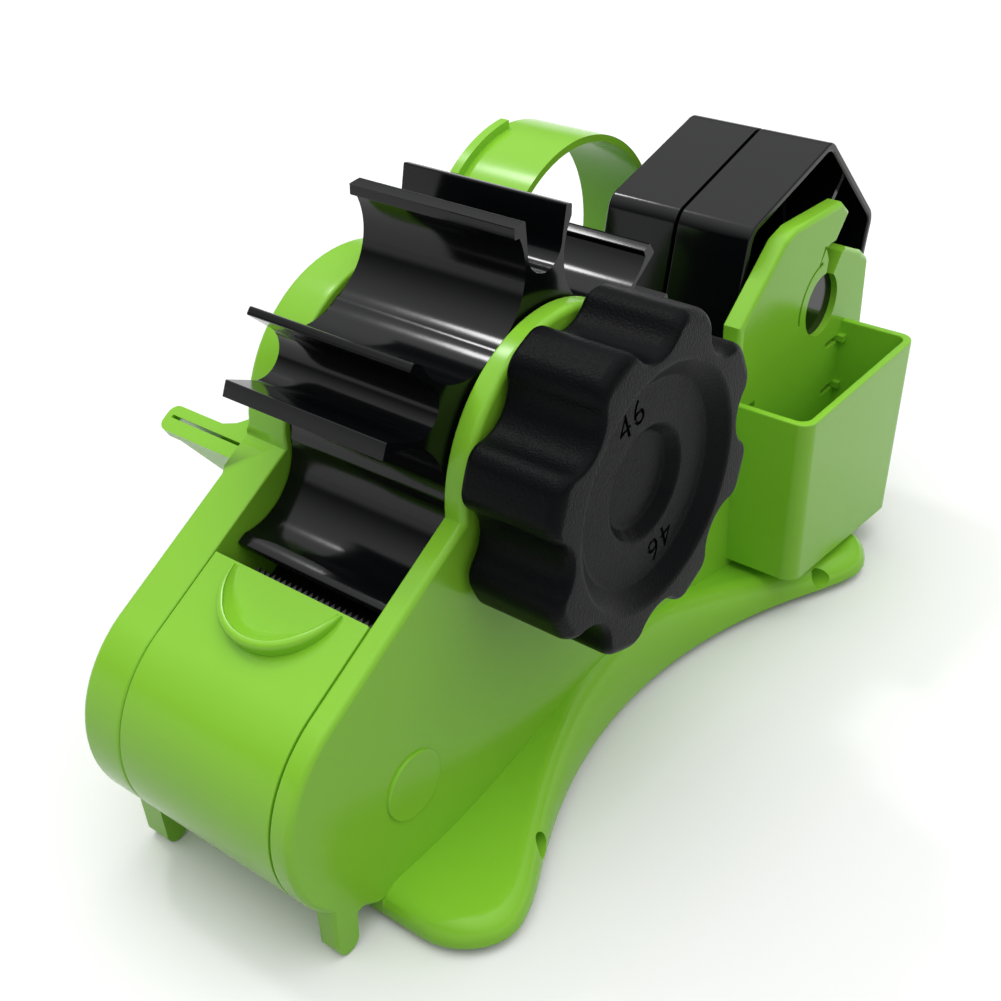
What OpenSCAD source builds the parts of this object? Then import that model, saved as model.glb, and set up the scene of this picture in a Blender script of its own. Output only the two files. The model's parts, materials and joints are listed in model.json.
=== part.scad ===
// Semi-automatic tape dispenser: a knob turns a six-lobed drum that holds cut strips of tape.
// X runs along the drum axis towards the knob, Y towards the back, Z up from the table.
// Side outlines are drawn as (Y, Z) around the drum axis, and place() sets them on the table.

/* [Drum] */
// Radius over the lips, which is also the length of one cut strip
lip_r = 46; // [45:0.1:47]
// Length of the drum between its ends
drum_len = 38.4; // [30:0.2:46]
// Width of the thick lip's cap
cap_w = 2.8; // [2:0.1:3.4]
// Height of the thick lip's cap
cap_h = 2.2; // [1.5:0.1:3]
// Thickness of the thin lip
thin_lip_w = 1.6; // [1.2:0.1:2]
// Half width of a tape channel at its mouth
channel_mouth = 6.1; // [5.4:0.1:6.4]
// Radius of the round floor of a tape channel
channel_r = 5.1; // [4.4:0.1:5.2]
// Distance from the axis to a channel's floor
channel_floor_r = 34.5; // [33.5:0.1:36]
// Radius of each of the two arcs of a finger scoop
scoop_r = 12.9; // [12.2:0.1:13]
// Distance from the axis to a finger scoop's floor
scoop_floor_r = 27.8; // [27.4:0.1:29]
// Sideways distance of each scoop arc from the crease between them
scoop_split = 2; // [1:0.1:2.2]
// Radius of the drum shaft
shaft_r = 4; // [3:0.1:5]
// Gap between the drum's end and each side wall
end_gap = 0.5; // [0.3:0.1:1]

/* [Side walls] */
// Height of the drum axis above the table
axis_h = 75; // [73:0.5:80]
// Thickness of the hollow left wall
left_wall = 10.7; // [10:0.1:13]
// Thickness of the right wall
right_wall = 4.7; // [4:0.1:6]
// Thickness of the moulded skins
skin = 2.2; // [1.8:0.1:2.6]
// Radius of the arch over the drum shaft
arch_r = 29; // [28:0.1:31]
// Slope of the front edge, in degrees
slant = 29.5; // [28:0.5:31]
// Radius of the round nose
nose_r = 26; // [25:0.2:27]
// Reach of the nose in front of the drum axis
nose_reach = 78.6; // [77:0.2:82]
// Clearance between the body's floor and the table
foot_h = 5.4; // [5:0.1:6.4]
// Reach of the side walls behind the drum axis
rear_reach = 128.7; // [126:0.1:134]
// Drop of the low edge behind the arch, below the drum axis
saddle_drop = 8; // [6:0.5:10]

/* [Spool] */
// Distance from the drum axis back to the spool axis
spool_y = 105; // [103:0.2:107]
// Drop of the spool axis below the drum axis
spool_drop = 10.8; // [10:0.1:12]
// Radius over the spool's sharp corners, for tape on a 76 mm core
core_r = 38; // [34:0.2:39]
// Radius of the spool's rounded corners
core_round = 5; // [2:0.5:8]
// Width over both spool halves
spool_w = 37.8; // [28:0.2:38]
// Gap between the two spool halves
half_gap = 0.8; // [0.4:0.1:2]
// Radius of the spool's journals
journal_r = 7.8; // [7:0.1:8.4]

/* [Knob] */
// Radius over the knob's lobes
knob_r = 33; // [31:0.5:36]
// Depth of the knob along its axis
knob_depth = 20.4; // [19:0.2:24]
// Radius of each knob lobe
knob_lobe_r = 8; // [7:0.1:9]
// Radius of the flutes between the lobes
flute_r = 5; // [4:0.1:5.4]
// Radius of the dish in the knob's face, at its rim
dish_r = 24.6; // [23:0.1:25]
// Width of the dish's sloped wall
dish_slope = 4.1; // [3:0.1:5]
// Depth of the dish
dish_depth = 3.2; // [2:0.1:4.5]
// Radius of the pit in the middle of the dish, at its rim
pit_r = 11.5; // [10:0.1:13]
// Width of the pit's sloped wall
pit_slope = 2; // [1:0.1:3]
// Depth of the pit down to its cap
pit_depth = 2.4; // [1.5:0.1:3.5]
// Gap between the knob and the right wall
knob_gap = 1.6; // [1.4:0.1:3]

/* [Front cover] */
// Length of the flat part of the cover
cover_flat = 18.2; // [16:0.1:18.6]
// Gap between the cover and each side wall
cover_gap = 0.3; // [0.2:0.05:0.5]
// Radius of the half-moon finger pull
pull_r = 13.5; // [10:0.1:15]
// Height of the finger pull's ridge above the cover
pull_h = 3; // [1.5:0.1:4]
// Radius of the cover's hinge pins
pivot_r = 1.5; // [1.2:0.1:1.8]

/* [Accessory bin] */
// Width of the bin out from the right wall
bin_w = 19; // [16:0.2:20]
// Length of the bin
bin_len = 54; // [48:0.5:55]
// Distance from the drum axis back to the bin
bin_y = 65; // [64:0.5:67]
// Drop of the bin's rim below the drum axis
bin_rim = 19.6; // [18:0.1:26]
// Drop of the bin's floor below the drum axis at its front
bin_front_drop = 62.5; // [56:0.1:63]
// Drop of the bin's floor below the drum axis at its back
bin_back_drop = 67.5; // [58:0.1:67.5]
// Thickness of the bin's walls
bin_wall = 1.8; // [1.4:0.1:2.4]

/* [Side roll ring] */
// Radius of the ring that carries a second roll
ring_r = 34; // [30:0.2:36]
// Thickness of the ring
ring_wall = 1.7; // [1.4:0.1:2.4]
// Width of the ring
ring_w = 21.2; // [16:0.2:22]
// Distance from the drum axis back to the ring's axis
ring_y = 81.6; // [80:0.2:84]
// Drop of the ring's axis below the drum axis
ring_drop = 7.8; // [6:0.2:12]
// Height of the ring's snap lips
snap_h = 2; // [1:0.1:3]

/* [Feet] */
// Radius of the foot lobes
lobe_r = 13.8; // [12:0.1:14]
// Distance from the right wall's outer face to a lobe's centre
lobe_out = 10.4; // [9:0.1:11]
// Distance from the drum axis forward to the front lobes
front_lobe = 44.4; // [42:0.2:46]
// Distance from the drum axis back to the rear lobes
rear_lobe = 91; // [89:0.2:93]
// Width of the flange at its waist
waist_w = 4; // [3:0.1:5]
// Radius of the curve between the lobes
waist_r = 112; // [105:1:120]
// Height of the feet's arched top over the table, midway between the lobes
foot_rise = 16.6; // [14:0.1:17]
// Height of the feet's top over the table at the lobes
lobe_rise = 7.5; // [7:0.1:8]
// Width of the round shoulder on the feet's outer edge
foot_round = 5.2; // [4:0.1:6]
// Radius of the holes in the feet's outer sides
side_hole_r = 2.2; // [1.5:0.1:2.4]
// Distance of the front hole behind the front lobe's centre
front_hole_in = 15.4; // [13:0.1:17]
// Distance of the rear hole before the rear lobe's centre
rear_hole_in = 10; // [8:0.1:12]
// Height of those holes over the table
side_hole_h = 5.2; // [4.6:0.1:5.6]
// Radius of the rubber pads
pad_r = 5.5; // [4:0.1:5.8]
// Thickness of the rubber pads
pad_t = 2.4; // [2.2:0.1:3]

/* [Cutter] */
// Radius of the cutter's shaft
cutter_shaft_r = 2.5; // [2:0.1:3]
// Distance from the blade's plane to the cutter's shaft
arm_len = 24; // [22:0.5:26]
// Thickness of the blade
blade_t = 0.6; // [0.4:0.1:0.8]
// Clearance between the drum's lips and the blade's tip
blade_gap = 0.8; // [0.5:0.1:1.5]
// Swing of the blade into a tape channel, in degrees
cut_swing = 6; // [5:0.5:7]
// Radius of the cam below its teeth
cam_base_r = 17; // [16:0.1:18]
// Radius of the spring wire
wire_r = 0.4; // [0.3:0.05:0.45]

/* [Hidden] */
$fn = 64;

green = "#78be2d";
black = "#1b1c1e";
steel = "#b9bcc0";
brass = "#b08d4c";
rubber = "#2a2a2a";

fit = 0.06;
eps = 0.01;
// Depth by which flat sides lie inside the round corners they run into
tuck = 0.02;
lobe_count = 6;
pitch = 360 / lobe_count;
lobe_rest = -4;
spool_sides = 6;
spool_rest = 15;
knob_lobes = 8;
knob_rest = 25;

wall_in = drum_len / 2 + end_gap;
left_out = -wall_in - left_wall;
right_out = wall_in + right_wall;
plate_in = -wall_in - skin;
body_mid = (left_out + right_out) / 2;
table_z = -axis_h;
floor_z = table_z + foot_h;
pad_sink = 0.6;
slab_z = table_z + pad_t - pad_sink;
foot_lip_z = slab_z + 1.2;
foot_blend = 5;
foot_mid = (rear_lobe - front_lobe) / 2;
saddle_z = -saddle_drop;
nose = [nose_r - nose_reach, floor_z + nose_r];
slant_n = [-sin(slant), cos(slant)];
slant_d = slant_n * nose + nose_r - tuck;
slant_top = nose + nose_r * slant_n;
spool = [spool_y, -spool_drop];
ring = [ring_y, -ring_drop];
ring_left = left_out - ring_w;
lobe_x = right_out + lobe_out;
bush_wall = 2.5;
bush_lip = 1.5;
bush_r = shaft_r + bush_wall;
bush_flange_r = bush_r + bush_lip;
bush_flange_t = 1;
knob_back = right_out + knob_gap;
knob_face = knob_back + knob_depth;
knob_cap_t = 1.2;
knob_cap_r = pit_r - pit_slope - 0.3;
knob_head_r = 3.6;
knob_head_h = 2.2;
knob_web_t = 2;
knob_screw_len = 9;
cap_x = knob_face - dish_depth - pit_depth;
pit_x = cap_x - knob_cap_t;
knob_seat_x = pit_x - knob_head_h - 0.3;
shaft_end = knob_seat_x - knob_web_t;
core_c = core_r - core_round / sin(60);
mid_x = (min(2 * body_mid - lobe_x - lobe_r, ring_left) + max(lobe_x + lobe_r, knob_face)) / 2;
mid_y = (max(spool_y + core_c * cos(spool_rest) + core_round, rear_reach) - nose_reach) / 2;

// Hinge of the front cover, at the lower end of the nose
hinge_turn = 245;
barrel_r = skin;
hinge = nose + (nose_r - barrel_r) * [cos(hinge_turn), sin(hinge_turn)];
cover_half = wall_in - cover_gap;
cover_top = slant_top + cover_flat * [cos(slant), sin(slant)];

// Cutter: the blade points at the drum axis, as high as its clamp's screws can be under the cover
clamp_t = 1.4;
clamp_screw_r = 1.1;
clamp_head_r = 2;
clamp_head_h = 1.2;
clamp_bite = 3.5;
clamp_inset = 5;
clamp_gap = 1.1;
seat_r = lip_r + 9;
seat_h = 4.6;
clamp_corner = [seat_r + seat_h, blade_t / 2 + clamp_t + clamp_head_h];
cut_turn = slant + atan(clamp_corner[1] / clamp_corner[0])
           + acos((slant_d - skin - clamp_gap) / norm(clamp_corner));
cut_r = [-sin(cut_turn), cos(cut_turn)];
cut_t = [-cos(cut_turn), -sin(cut_turn)];
blade_in = lip_r + blade_gap;
blade_w = seat_r + seat_h - blade_in;
cutter = (seat_r + seat_h / 2) * cut_r + arm_len * cut_t;
arm_half = cover_half - 5;
lever_turn = 190;
finger_r = 1.5;
finger_gap = 0.3;
finger = at(lever_turn, cam_base_r + finger_r + finger_gap);
cavity_out = left_out + skin;
cam_t = 4;
cam_gap = 0.3;
cam_end = plate_in - bush_flange_t - cam_gap;
cam_x = [cam_end - cam_t, cam_end];

// The cam's teeth push the finger as far as the cutter swings, and let it go just before a stop
finger_run = finger - cutter;
finger_out = cutter + [finger_run[0] * cos(cut_swing) + finger_run[1] * sin(cut_swing),
                       finger_run[1] * cos(cut_swing) - finger_run[0] * sin(cut_swing)];
cam_r = norm(finger_out) - finger_r - eps;
tooth_half = 1;
tooth_lead = 3.4;
cam_rest = lever_turn + 10.5;

shell_screw_at = [[-62, -50], [-6, -58], [52, -58], [119, -30]];
base_screw_y = [-42, 26, 100];
base_screw_x = wall_in - 5;
post_r = 3.6;
screw_r = 1.5;
screw_head_r = 2.9;
screw_head_h = 1.8;
base_sink = 0.4;
boss_h = 9;
ring_screw_r = 1.3;
ring_web_t = 2.2;
side_hole_depth = 8;
pad_x = lobe_x - 3;
pad_y = [-front_lobe - 4, rear_lobe + 4];
ring_screw_at = [for (turn = [150, 180, 210]) ring + at(turn, ring_r - 6)];
slot_len = 9;
hook_len = 3;
hook_t = 1.6;
hook_y = [bin_y + 0.8, bin_y + bin_len - 0.8];
hook_z = [-bin_rim - 5, -bin_rim - 18];

function at(turn, r) = [-r * sin(turn), r * cos(turn)];

// Sets the model on the table with its box centred on the origin
module place() {
    translate([-mid_x, -mid_y, axis_h]) children();
}

// Extrudes a (Y, Z) outline from x0 to x1
module along_x(x0, x1) {
    translate([x0, 0, 0]) rotate([90, 0, 90]) linear_extrude(x1 - x0) children();
}

// Round bar along X through the point p = (Y, Z)
module rod(p, x0, x1, r) {
    translate([x0, p[0], p[1]]) rotate([0, 90, 0]) cylinder(h = x1 - x0, r = r);
}

// Mirrors a right foot to the left side of the body
module left_foot() {
    translate([2 * body_mid, 0, 0]) mirror([1, 0, 0]) children();
}

// Polygon with corners rounded by circles: a regular outline of n sides
module rounded_polygon(n, r, round_r, turn) {
    half = 180 / n;
    c = r - round_r / cos(half);
    for (i = [0 : n - 1]) {
        a = turn + i * 360 / n;
        translate(c * [cos(a), sin(a)]) circle(round_r);
    }
    polygon([for (i = [0 : n - 1]) for (s = [-1, 1])
        let (a = turn + i * 360 / n)
        c * [cos(a), sin(a)] + (round_r - tuck) * [cos(a + s * half), sin(a + s * half)]]);
}

// Area below the slanted front edge, t inside it
module below_slant(t) {
    translate((slant_d - t) * slant_n) rotate(slant) translate([-200, -200]) square([400, 200]);
}

// Outline shared by both walls, drawn t inside its edge
module wall_front(t = 0) {
    translate(nose) circle(nose_r - t);
    circle(arch_r - t);
    translate(nose) rotate(slant) square([norm(nose) - arch_r / 2, nose_r - tuck - t]);
    intersection() {
        below_slant(t);
        translate([nose[0], floor_z + t]) square([-nose[0], -floor_z + arch_r]);
    }
    translate([-1, floor_z + t]) square([rear_reach + 1 - t, saddle_z - floor_z - 2 * t]);
}

// Outline of the left wall with the round post that carries the spool
module left_profile() {
    wall_front();
    translate(spool) circle(journal_r + 4.7);
}

// Outline of the right wall with the tall spool plate and its post
module right_profile() {
    foot = [spool_y - 38.6, saddle_z - eps];
    post_foot = [rear_reach, saddle_z - eps];
    plate_top = 24.6;
    wall_front();
    polygon([foot, foot + [0, 6.4], spool + [-20.7, plate_top - 1.4], spool + [-15.2, plate_top],
             spool + [6.9, plate_top - 1], spool + [11, plate_top - 4.5], spool + [6, 15], spool + [2.4, 15],
             spool + [8.6, 10.6], spool + [11.6, 10.8], spool + [20.4, 6.7],
             [rear_reach, spool[1] + 4.1], post_foot]);
}

// Keyhole for the spool's right journal, with the slit that frees the snap finger
module keyhole() {
    slit_r = journal_r + 2.9;
    slit_w = 0.9;
    circle(journal_r + fit);
    polygon([[0.6, 6], [1.6, 11], [-0.2, 14.6], [2.4, 15.2], [9, 12], [8.6, 10.6], [4.8, 6]]);
    intersection() {
        difference() {
            circle(slit_r + slit_w);
            circle(slit_r);
        }
        polygon([[0, 0], [-3, 30], [-40, 30], [-40, -5]]);
    }
    polygon([[-3.4, 10.6], [-2.4, 11.4], [0.4, 14.8], [-0.8, 15.2]]);
}

// Outer edge of the right foot at y: round lobes joined by a hollow curve
function foot_edge(y) =
    let (past = max(0, -front_lobe - y, y - rear_lobe))
    let (lobe = lobe_x + sqrt(max(0, lobe_r * lobe_r - past * past)))
    let (hollow = right_out + waist_w + waist_r - sqrt(waist_r * waist_r - pow(y - foot_mid, 2)))
    (lobe + hollow - sqrt(pow(lobe - hollow, 2) + foot_blend * foot_blend)) / 2;

// Height of the foot's top at y: an arch that rounds off at both ends
function foot_top(y) =
    let (out = min(1, abs(y - foot_mid) / (foot_mid + front_lobe)))
    let (arch = table_z + lobe_rise + (foot_rise - lobe_rise) * (1 + cos(180 * out)) / 2)
    let (inside = min(1, (lobe_r + min(y + front_lobe, rear_lobe - y)) / foot_round))
    foot_lip_z + (arch - foot_lip_z) * sqrt(max(0.0025, 1 - pow(1 - inside, 2)));

// Cross section of the foot at y: flat below, steep outside, with a round shoulder
function foot_section(y) =
    let (edge = foot_edge(y), top = foot_top(y), w = min(foot_round, edge - right_out))
    concat([[right_out - 1, y, slab_z], [edge - 0.6, y, slab_z], [edge, y, slab_z + 0.6]],
           [for (a = [0 : 15 : 90]) [edge - w + w * cos(a), y, foot_lip_z + (top - foot_lip_z) * sin(a)]],
           [[right_out - 1, y, top]]);

// Arched foot lofted through its cross sections, from lobe to lobe
module foot_loft() {
    lobe_steps = [for (a = [0 : 10 : 80]) lobe_r * cos(a)];
    waist_steps = 30;
    span = front_lobe + rear_lobe;
    ys = concat([for (d = lobe_steps) -front_lobe - d],
                [for (i = [0 : waist_steps]) -front_lobe + i * span / waist_steps],
                [for (i = [len(lobe_steps) - 1 : -1 : 0]) rear_lobe + lobe_steps[i]]);
    n = len(foot_section(0));
    last = len(ys) - 1;
    sides = [for (i = [0 : last - 1]) for (k = [0 : n - 1])
        let (a = i * n + k, b = i * n + (k + 1) % n)
        each [[a, b, b + n], [a, b + n, a + n]]];
    polyhedron([for (y = ys) each foot_section(y)],
               concat([[for (k = [n - 1 : -1 : 0]) k]], sides, [[for (k = [0 : n - 1]) last * n + k]]));
}

// Foot with a strip under the body, side holes and pad recesses; the base screws stand at screw_x
module foot_flange(screw_x) {
    strip_x = screw_x - 5;
    difference() {
        union() {
            foot_loft();
            translate([strip_x, -front_lobe - lobe_r, slab_z])
                cube([right_out - strip_x, front_lobe + rear_lobe + 2 * lobe_r, floor_z - slab_z]);
        }
        for (y = [front_hole_in - front_lobe, rear_lobe - rear_hole_in])
            rod([y, table_z + side_hole_h], foot_edge(y) - side_hole_depth, lobe_x + lobe_r, side_hole_r);
        for (y = pad_y)
            translate([pad_x, y, table_z - 1]) cylinder(h = 1 + pad_t, r = pad_r + fit);
        for (y = base_screw_y) {
            translate([screw_x, y, slab_z - 1]) cylinder(h = 10, r = screw_r + 0.2);
            translate([screw_x, y, slab_z - 1])
                cylinder(h = 1 + base_sink + screw_head_h, r = screw_head_r + 0.2);
        }
    }
}

// Small tapered leg with a round end under the nose, w wide from x0
module nose_leg(x0, w) {
    end_r = 2.6;
    root_half = 3.5;
    end = [nose[0] - 15, table_z + 0.3 + end_r];
    root = [nose[0] - 15, nose[1] - 12];
    side = end_r - tuck;
    along_x(x0, x0 + w) {
        translate(end) circle(end_r);
        polygon([end - [side, 0], end + [side, 0], root + [root_half, 0], root - [root_half, 0]]);
    }
}

// Bar in the slanted edge's plane that guides tape off the side ring, with a slot for a cutting strip
module side_tab() {
    corner = 2.2;
    depth = 6;
    reach = ring_w;
    tab_t = 2.4;
    foot = slant_d * slant_n;
    along = sqrt(arch_r * arch_r - slant_d * slant_d);
    translate([left_out, foot[0], foot[1]]) rotate([slant, 0, 0]) translate([0, -along, 0]) {
        difference() {
            union() {
                translate([0, 0, -tab_t]) linear_extrude(tab_t) {
                    translate([-reach + corner, -depth]) square([reach - corner + 1, depth]);
                    translate([-reach, -depth + corner]) square([reach, depth - 2 * corner]);
                    for (y = [-depth + corner, -corner]) translate([-reach + corner, y]) circle(corner);
                    polygon([[1, 0], [-7, 0], [-4, 1.2], [-1.4, 3.4], [1, 3.6]]);
                }
                translate([0, 0, -tab_t]) rotate([90, 0, 0]) linear_extrude(depth) difference() {
                    polygon([[1, 0], [-reach + corner + 3, 0], [-8, -7], [-5, -17], [1, -17]]);
                    translate([-reach + 2, -13]) circle(11.6);
                }
            }
            translate([-reach + 1.6, -3, -tab_t - 4]) cube([reach - 1.6, 0.7, 10]);
        }
    }
}

// Floor, nose lip and low back wall in one moulding, with bosses for the base screws
module base_pan() {
    floor_t = skin + 0.2;
    back_h = 20;
    color(green) place() difference() {
        union() {
            along_x(-wall_in, wall_in) {
                translate([nose[0], floor_z]) square([rear_reach - nose[0], floor_t]);
                translate([rear_reach - skin, floor_z]) square([skin, back_h]);
                intersection() {
                    difference() {
                        translate(nose) circle(nose_r);
                        translate(nose) circle(nose_r - floor_t);
                    }
                    polygon([nose, nose + 60 * [cos(256), sin(256)], nose + [0, -60]]);
                }
            }
            for (s = [-1, 1]) for (y = base_screw_y)
                translate([s * base_screw_x, y, floor_z]) cylinder(h = boss_h, r = post_r);
        }
        for (s = [-1, 1]) for (y = base_screw_y)
            translate([s * base_screw_x, y, floor_z - 1]) cylinder(h = boss_h - 0.5, r = screw_r);
    }
}

// Hollow outer half of the left wall, with its foot, tab and screw posts
module left_side_shell() {
    color(green) place() difference() {
        union() {
            difference() {
                along_x(left_out, plate_in) left_profile();
                along_x(cavity_out, plate_in + 1) difference() {
                    wall_front(skin);
                    translate(spool) circle(journal_r + 4.7);
                    for (p = shell_screw_at) translate(p) circle(post_r);
                }
            }
            left_foot() foot_flange(2 * body_mid + base_screw_x);
            nose_leg(left_out + 1.2, 6);
            side_tab();
        }
        spool_slot(left_out - 1, plate_in + 1);
        for (p = shell_screw_at) {
            rod(p, left_out - 1, plate_in + 1, screw_r + 0.1);
            rod(p, left_out - 1, left_out + 0.2 + screw_head_h, screw_head_r + 0.2);
        }
        for (p = ring_screw_at) rod(p, left_out - 1, cavity_out + 1, ring_screw_r);
    }
}

// Drop-in slot for the spool's left journal
module spool_slot(x0, x1) {
    along_x(x0, x1) translate(spool) {
        circle(journal_r + fit);
        translate([-journal_r - fit, 0]) square([2 * (journal_r + fit), 30]);
    }
}

// Inner half of the left wall, which closes the cam space
module left_inner_plate() {
    color(green) place() difference() {
        along_x(plate_in, -wall_in) left_profile();
        rod([0, 0], plate_in - 1, -wall_in + 1, bush_r);
        rod(cutter, plate_in - 1, -wall_in + 1, cutter_shaft_r + fit);
        rod(hinge, plate_in - 1, -wall_in + 1, pivot_r + fit);
        spool_slot(plate_in - 1, -wall_in + 1);
        for (p = shell_screw_at) rod(p, plate_in - 1, -wall_in + 1, screw_r);
    }
}

// Right wall with arch, spool plate, snap finger, raised disc and foot
module right_side_shell() {
    disc_at = [-47.2, -48.2];
    disc_r = 7.3;
    blind = 2.6;
    color(green) place() difference() {
        union() {
            along_x(wall_in, right_out) right_profile();
            foot_flange(base_screw_x);
            nose_leg(wall_in, right_wall);
            rod(disc_at, right_out - 1, right_out + 0.6, disc_r);
        }
        rod([0, 0], wall_in - 1, right_out + 1, bush_r);
        rod(cutter, wall_in - 1, wall_in + blind, cutter_shaft_r + fit);
        rod(hinge, wall_in - 1, wall_in + blind, pivot_r + fit);
        along_x(wall_in - 1, right_out + 1) translate(spool) keyhole();
        for (y = [hook_y[0], hook_y[1] - slot_len]) for (z = hook_z)
            translate([wall_in - 1, y - fit, z - fit])
                cube([right_wall + 2, slot_len + 2 * fit, hook_t + 2 * fit]);
    }
}

// Ring for a second roll, with a foot web against the wall and three snap lips
module side_roll_ring() {
    lip_w = 2.4;
    lip_half = 17;
    color(green) place() difference() {
        union() {
            along_x(ring_left, left_out) translate(ring) difference() {
                circle(ring_r, $fn = 128);
                circle(ring_r - ring_wall, $fn = 128);
            }
            along_x(left_out - ring_web_t, left_out) translate(ring) intersection() {
                circle(ring_r - ring_wall + 0.5, $fn = 128);
                translate([-40, -40]) square([80, 40 - (ring_r - ring_wall) * 0.55]);
            }
            along_x(ring_left, ring_left + lip_w) translate(ring) for (a = [20, 140, 260])
                intersection() {
                    difference() {
                        circle(ring_r + snap_h, $fn = 128);
                        circle(ring_r - ring_wall, $fn = 128);
                    }
                    polygon([[0, 0], at(a - lip_half, 60), at(a + lip_half, 60)]);
                }
        }
        for (p = ring_screw_at) rod(p, left_out - ring_web_t - 1, left_out + 1, ring_screw_r + 0.3);
    }
}

// Open-topped bin of three walls and a floor; the right wall closes it, and its hooks hang there
module accessory_bin() {
    corner = 3.5;
    draft = 1.2;
    hook_x = 3.2;
    color(green) place() {
        difference() {
            hull() {
                bin_slab(0, 0, -bin_rim, -bin_rim, corner);
                bin_slab(0, draft, -bin_front_drop, -bin_back_drop, corner);
            }
            hull() {
                bin_slab(bin_wall, 0, -bin_rim + 1, -bin_rim + 1, corner);
                bin_slab(bin_wall, draft, -bin_front_drop + bin_wall, -bin_back_drop + bin_wall, corner);
            }
        }
        for (y = [hook_y[0], hook_y[1] - hook_len]) for (z = hook_z)
            translate([right_out - hook_x, y, z]) cube([hook_x + bin_wall, hook_len, hook_t]);
    }
}

// Thin slice of the bin's plan, t inside its three walls and drawn in by d, sloped from z0 to z1
module bin_slab(t, d, z0, z1, corner) {
    r = corner - t / 2;
    thin = 0.02;
    x1 = right_out + bin_w - t - d;
    y0 = bin_y + t + d;
    y1 = bin_y + bin_len - t - d;
    lean = atan((z1 - z0) / (y1 - y0));
    translate([0, y0, z0]) rotate([lean, 0, 0]) translate([0, -y0, 0]) linear_extrude(thin) {
        for (y = [y0 + r, y1 - r]) translate([x1 - r, y]) circle(r, $fn = 32);
        translate([t > 0 ? right_out - 1 : right_out, y0]) square([1, y1 - y0]);
    }
}

// Flanged plain bush for the drum shaft; the flange points away from the drum
module bush(x0, x1, side) {
    flange_x = side > 0 ? x1 : x0 - bush_flange_t;
    color(brass) place() difference() {
        union() {
            rod([0, 0], x0, x1, bush_r);
            rod([0, 0], flange_x, flange_x + bush_flange_t, bush_flange_r);
        }
        rod([0, 0], x0 - 2 * bush_flange_t, x1 + 2 * bush_flange_t, shaft_r + fit);
    }
}

module left_bush() { bush(plate_in, -wall_in, -1); }

module right_bush() { bush(wall_in, right_out, 1); }

// Four round pads sunk into the foot lobes
module rubber_feet() {
    color(rubber) place() for (y = pad_y) for (x = [pad_x, 2 * body_mid - pad_x])
        translate([x, y, table_z]) cylinder(h = pad_t, r = pad_r);
}

// Pan-head screw along +Z from its head's outer face
module screw(len, r, head_r, head_h) {
    cylinder(h = head_h, r = head_r, $fn = 32);
    translate([0, 0, head_h - eps]) cylinder(h = len + eps, r = r, $fn = 32);
}

// Screws from below that hold both walls to the base pan
module base_screws() {
    head_z = slab_z + base_sink;
    tip_z = floor_z + boss_h - 2;
    color(steel) place() for (y = base_screw_y) for (s = [-1, 1])
        translate([s * base_screw_x, y, head_z])
            screw(tip_z - head_z - screw_head_h, screw_r, screw_head_r, screw_head_h);
}

// Screws that close the two halves of the left wall
module left_shell_screws() {
    color(steel) place() for (p = shell_screw_at)
        translate([left_out + 0.2, p[0], p[1]]) rotate([0, 90, 0])
            screw(left_wall - screw_head_h - 0.6, screw_r, screw_head_r, screw_head_h);
}

// Screws that hold the ring's web to the left wall
module ring_screws() {
    head_h = 1.6;
    color(steel) place() for (p = ring_screw_at)
        translate([left_out - ring_web_t - head_h, p[0], p[1]]) rotate([0, 90, 0])
            screw(ring_web_t + skin, ring_screw_r, 2 * ring_screw_r, head_h);
}

// One lobe's cuts: a round-floored tape channel and the finger scoop beside it
module lobe_cuts() {
    channel_c = channel_floor_r + channel_r;
    top = lip_r + 4;
    spread = channel_mouth + (channel_mouth - channel_r) * (top - lip_r) / (lip_r - channel_c);
    translate([0, channel_c]) circle(channel_r);
    polygon([[-channel_r, channel_c], [channel_r, channel_c], [spread, top], [-spread, top]]);
    rotate(pitch / 2) for (s = [-1, 1])
        translate([s * scoop_split, scoop_floor_r + scoop_r]) circle(scoop_r, $fn = 96);
    trim = channel_mouth + thin_lip_w;
    polygon([[trim, lip_r - 4.5], [trim, top], [trim + 12, top], [trim + 6, lip_r - 4.5]]);
}

// Cap of a thick lip, overhanging the finger scoop in front of it
module lip_cap() {
    inner = channel_mouth + 0.1;
    intersection() {
        circle(lip_r, $fn = 160);
        translate([-inner - cap_w, lip_r - cap_h - 0.9]) square([cap_w, cap_h + 3]);
    }
}

// Six-lobed drum: each lobe has a thick lip, a tape channel and a thin lip
module drum() {
    core_hole_r = 5;
    core_ring_r = 17;
    core_depth = drum_len - 4;
    color(black) place() difference() {
        along_x(-drum_len / 2, drum_len / 2) {
            difference() {
                circle(lip_r, $fn = 160);
                for (i = [0 : lobe_count - 1]) rotate(lobe_rest + i * pitch) lobe_cuts();
            }
            for (i = [0 : lobe_count - 1]) rotate(lobe_rest + i * pitch) lip_cap();
        }
        rod([0, 0], -drum_len, drum_len, shaft_r);
        for (i = [0 : lobe_count - 1])
            rod(at(lobe_rest + i * pitch, core_ring_r), -drum_len, -drum_len / 2 + core_depth, core_hole_r);
    }
}

// Steel shaft through drum, bushes, cam and knob
module drum_shaft() {
    groove_x = cam_x[0] - 0.9;
    color(steel) place() difference() {
        rod([0, 0], cavity_out + 0.4, shaft_end, shaft_r);
        rod([0, 0], shaft_end - knob_screw_len, shaft_end + 1, screw_r);
        difference() {
            rod([0, 0], groove_x, groove_x + 0.8, shaft_r + 1);
            rod([0, 0], groove_x - 1, groove_x + 2, shaft_r - 0.8);
        }
    }
}

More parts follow.
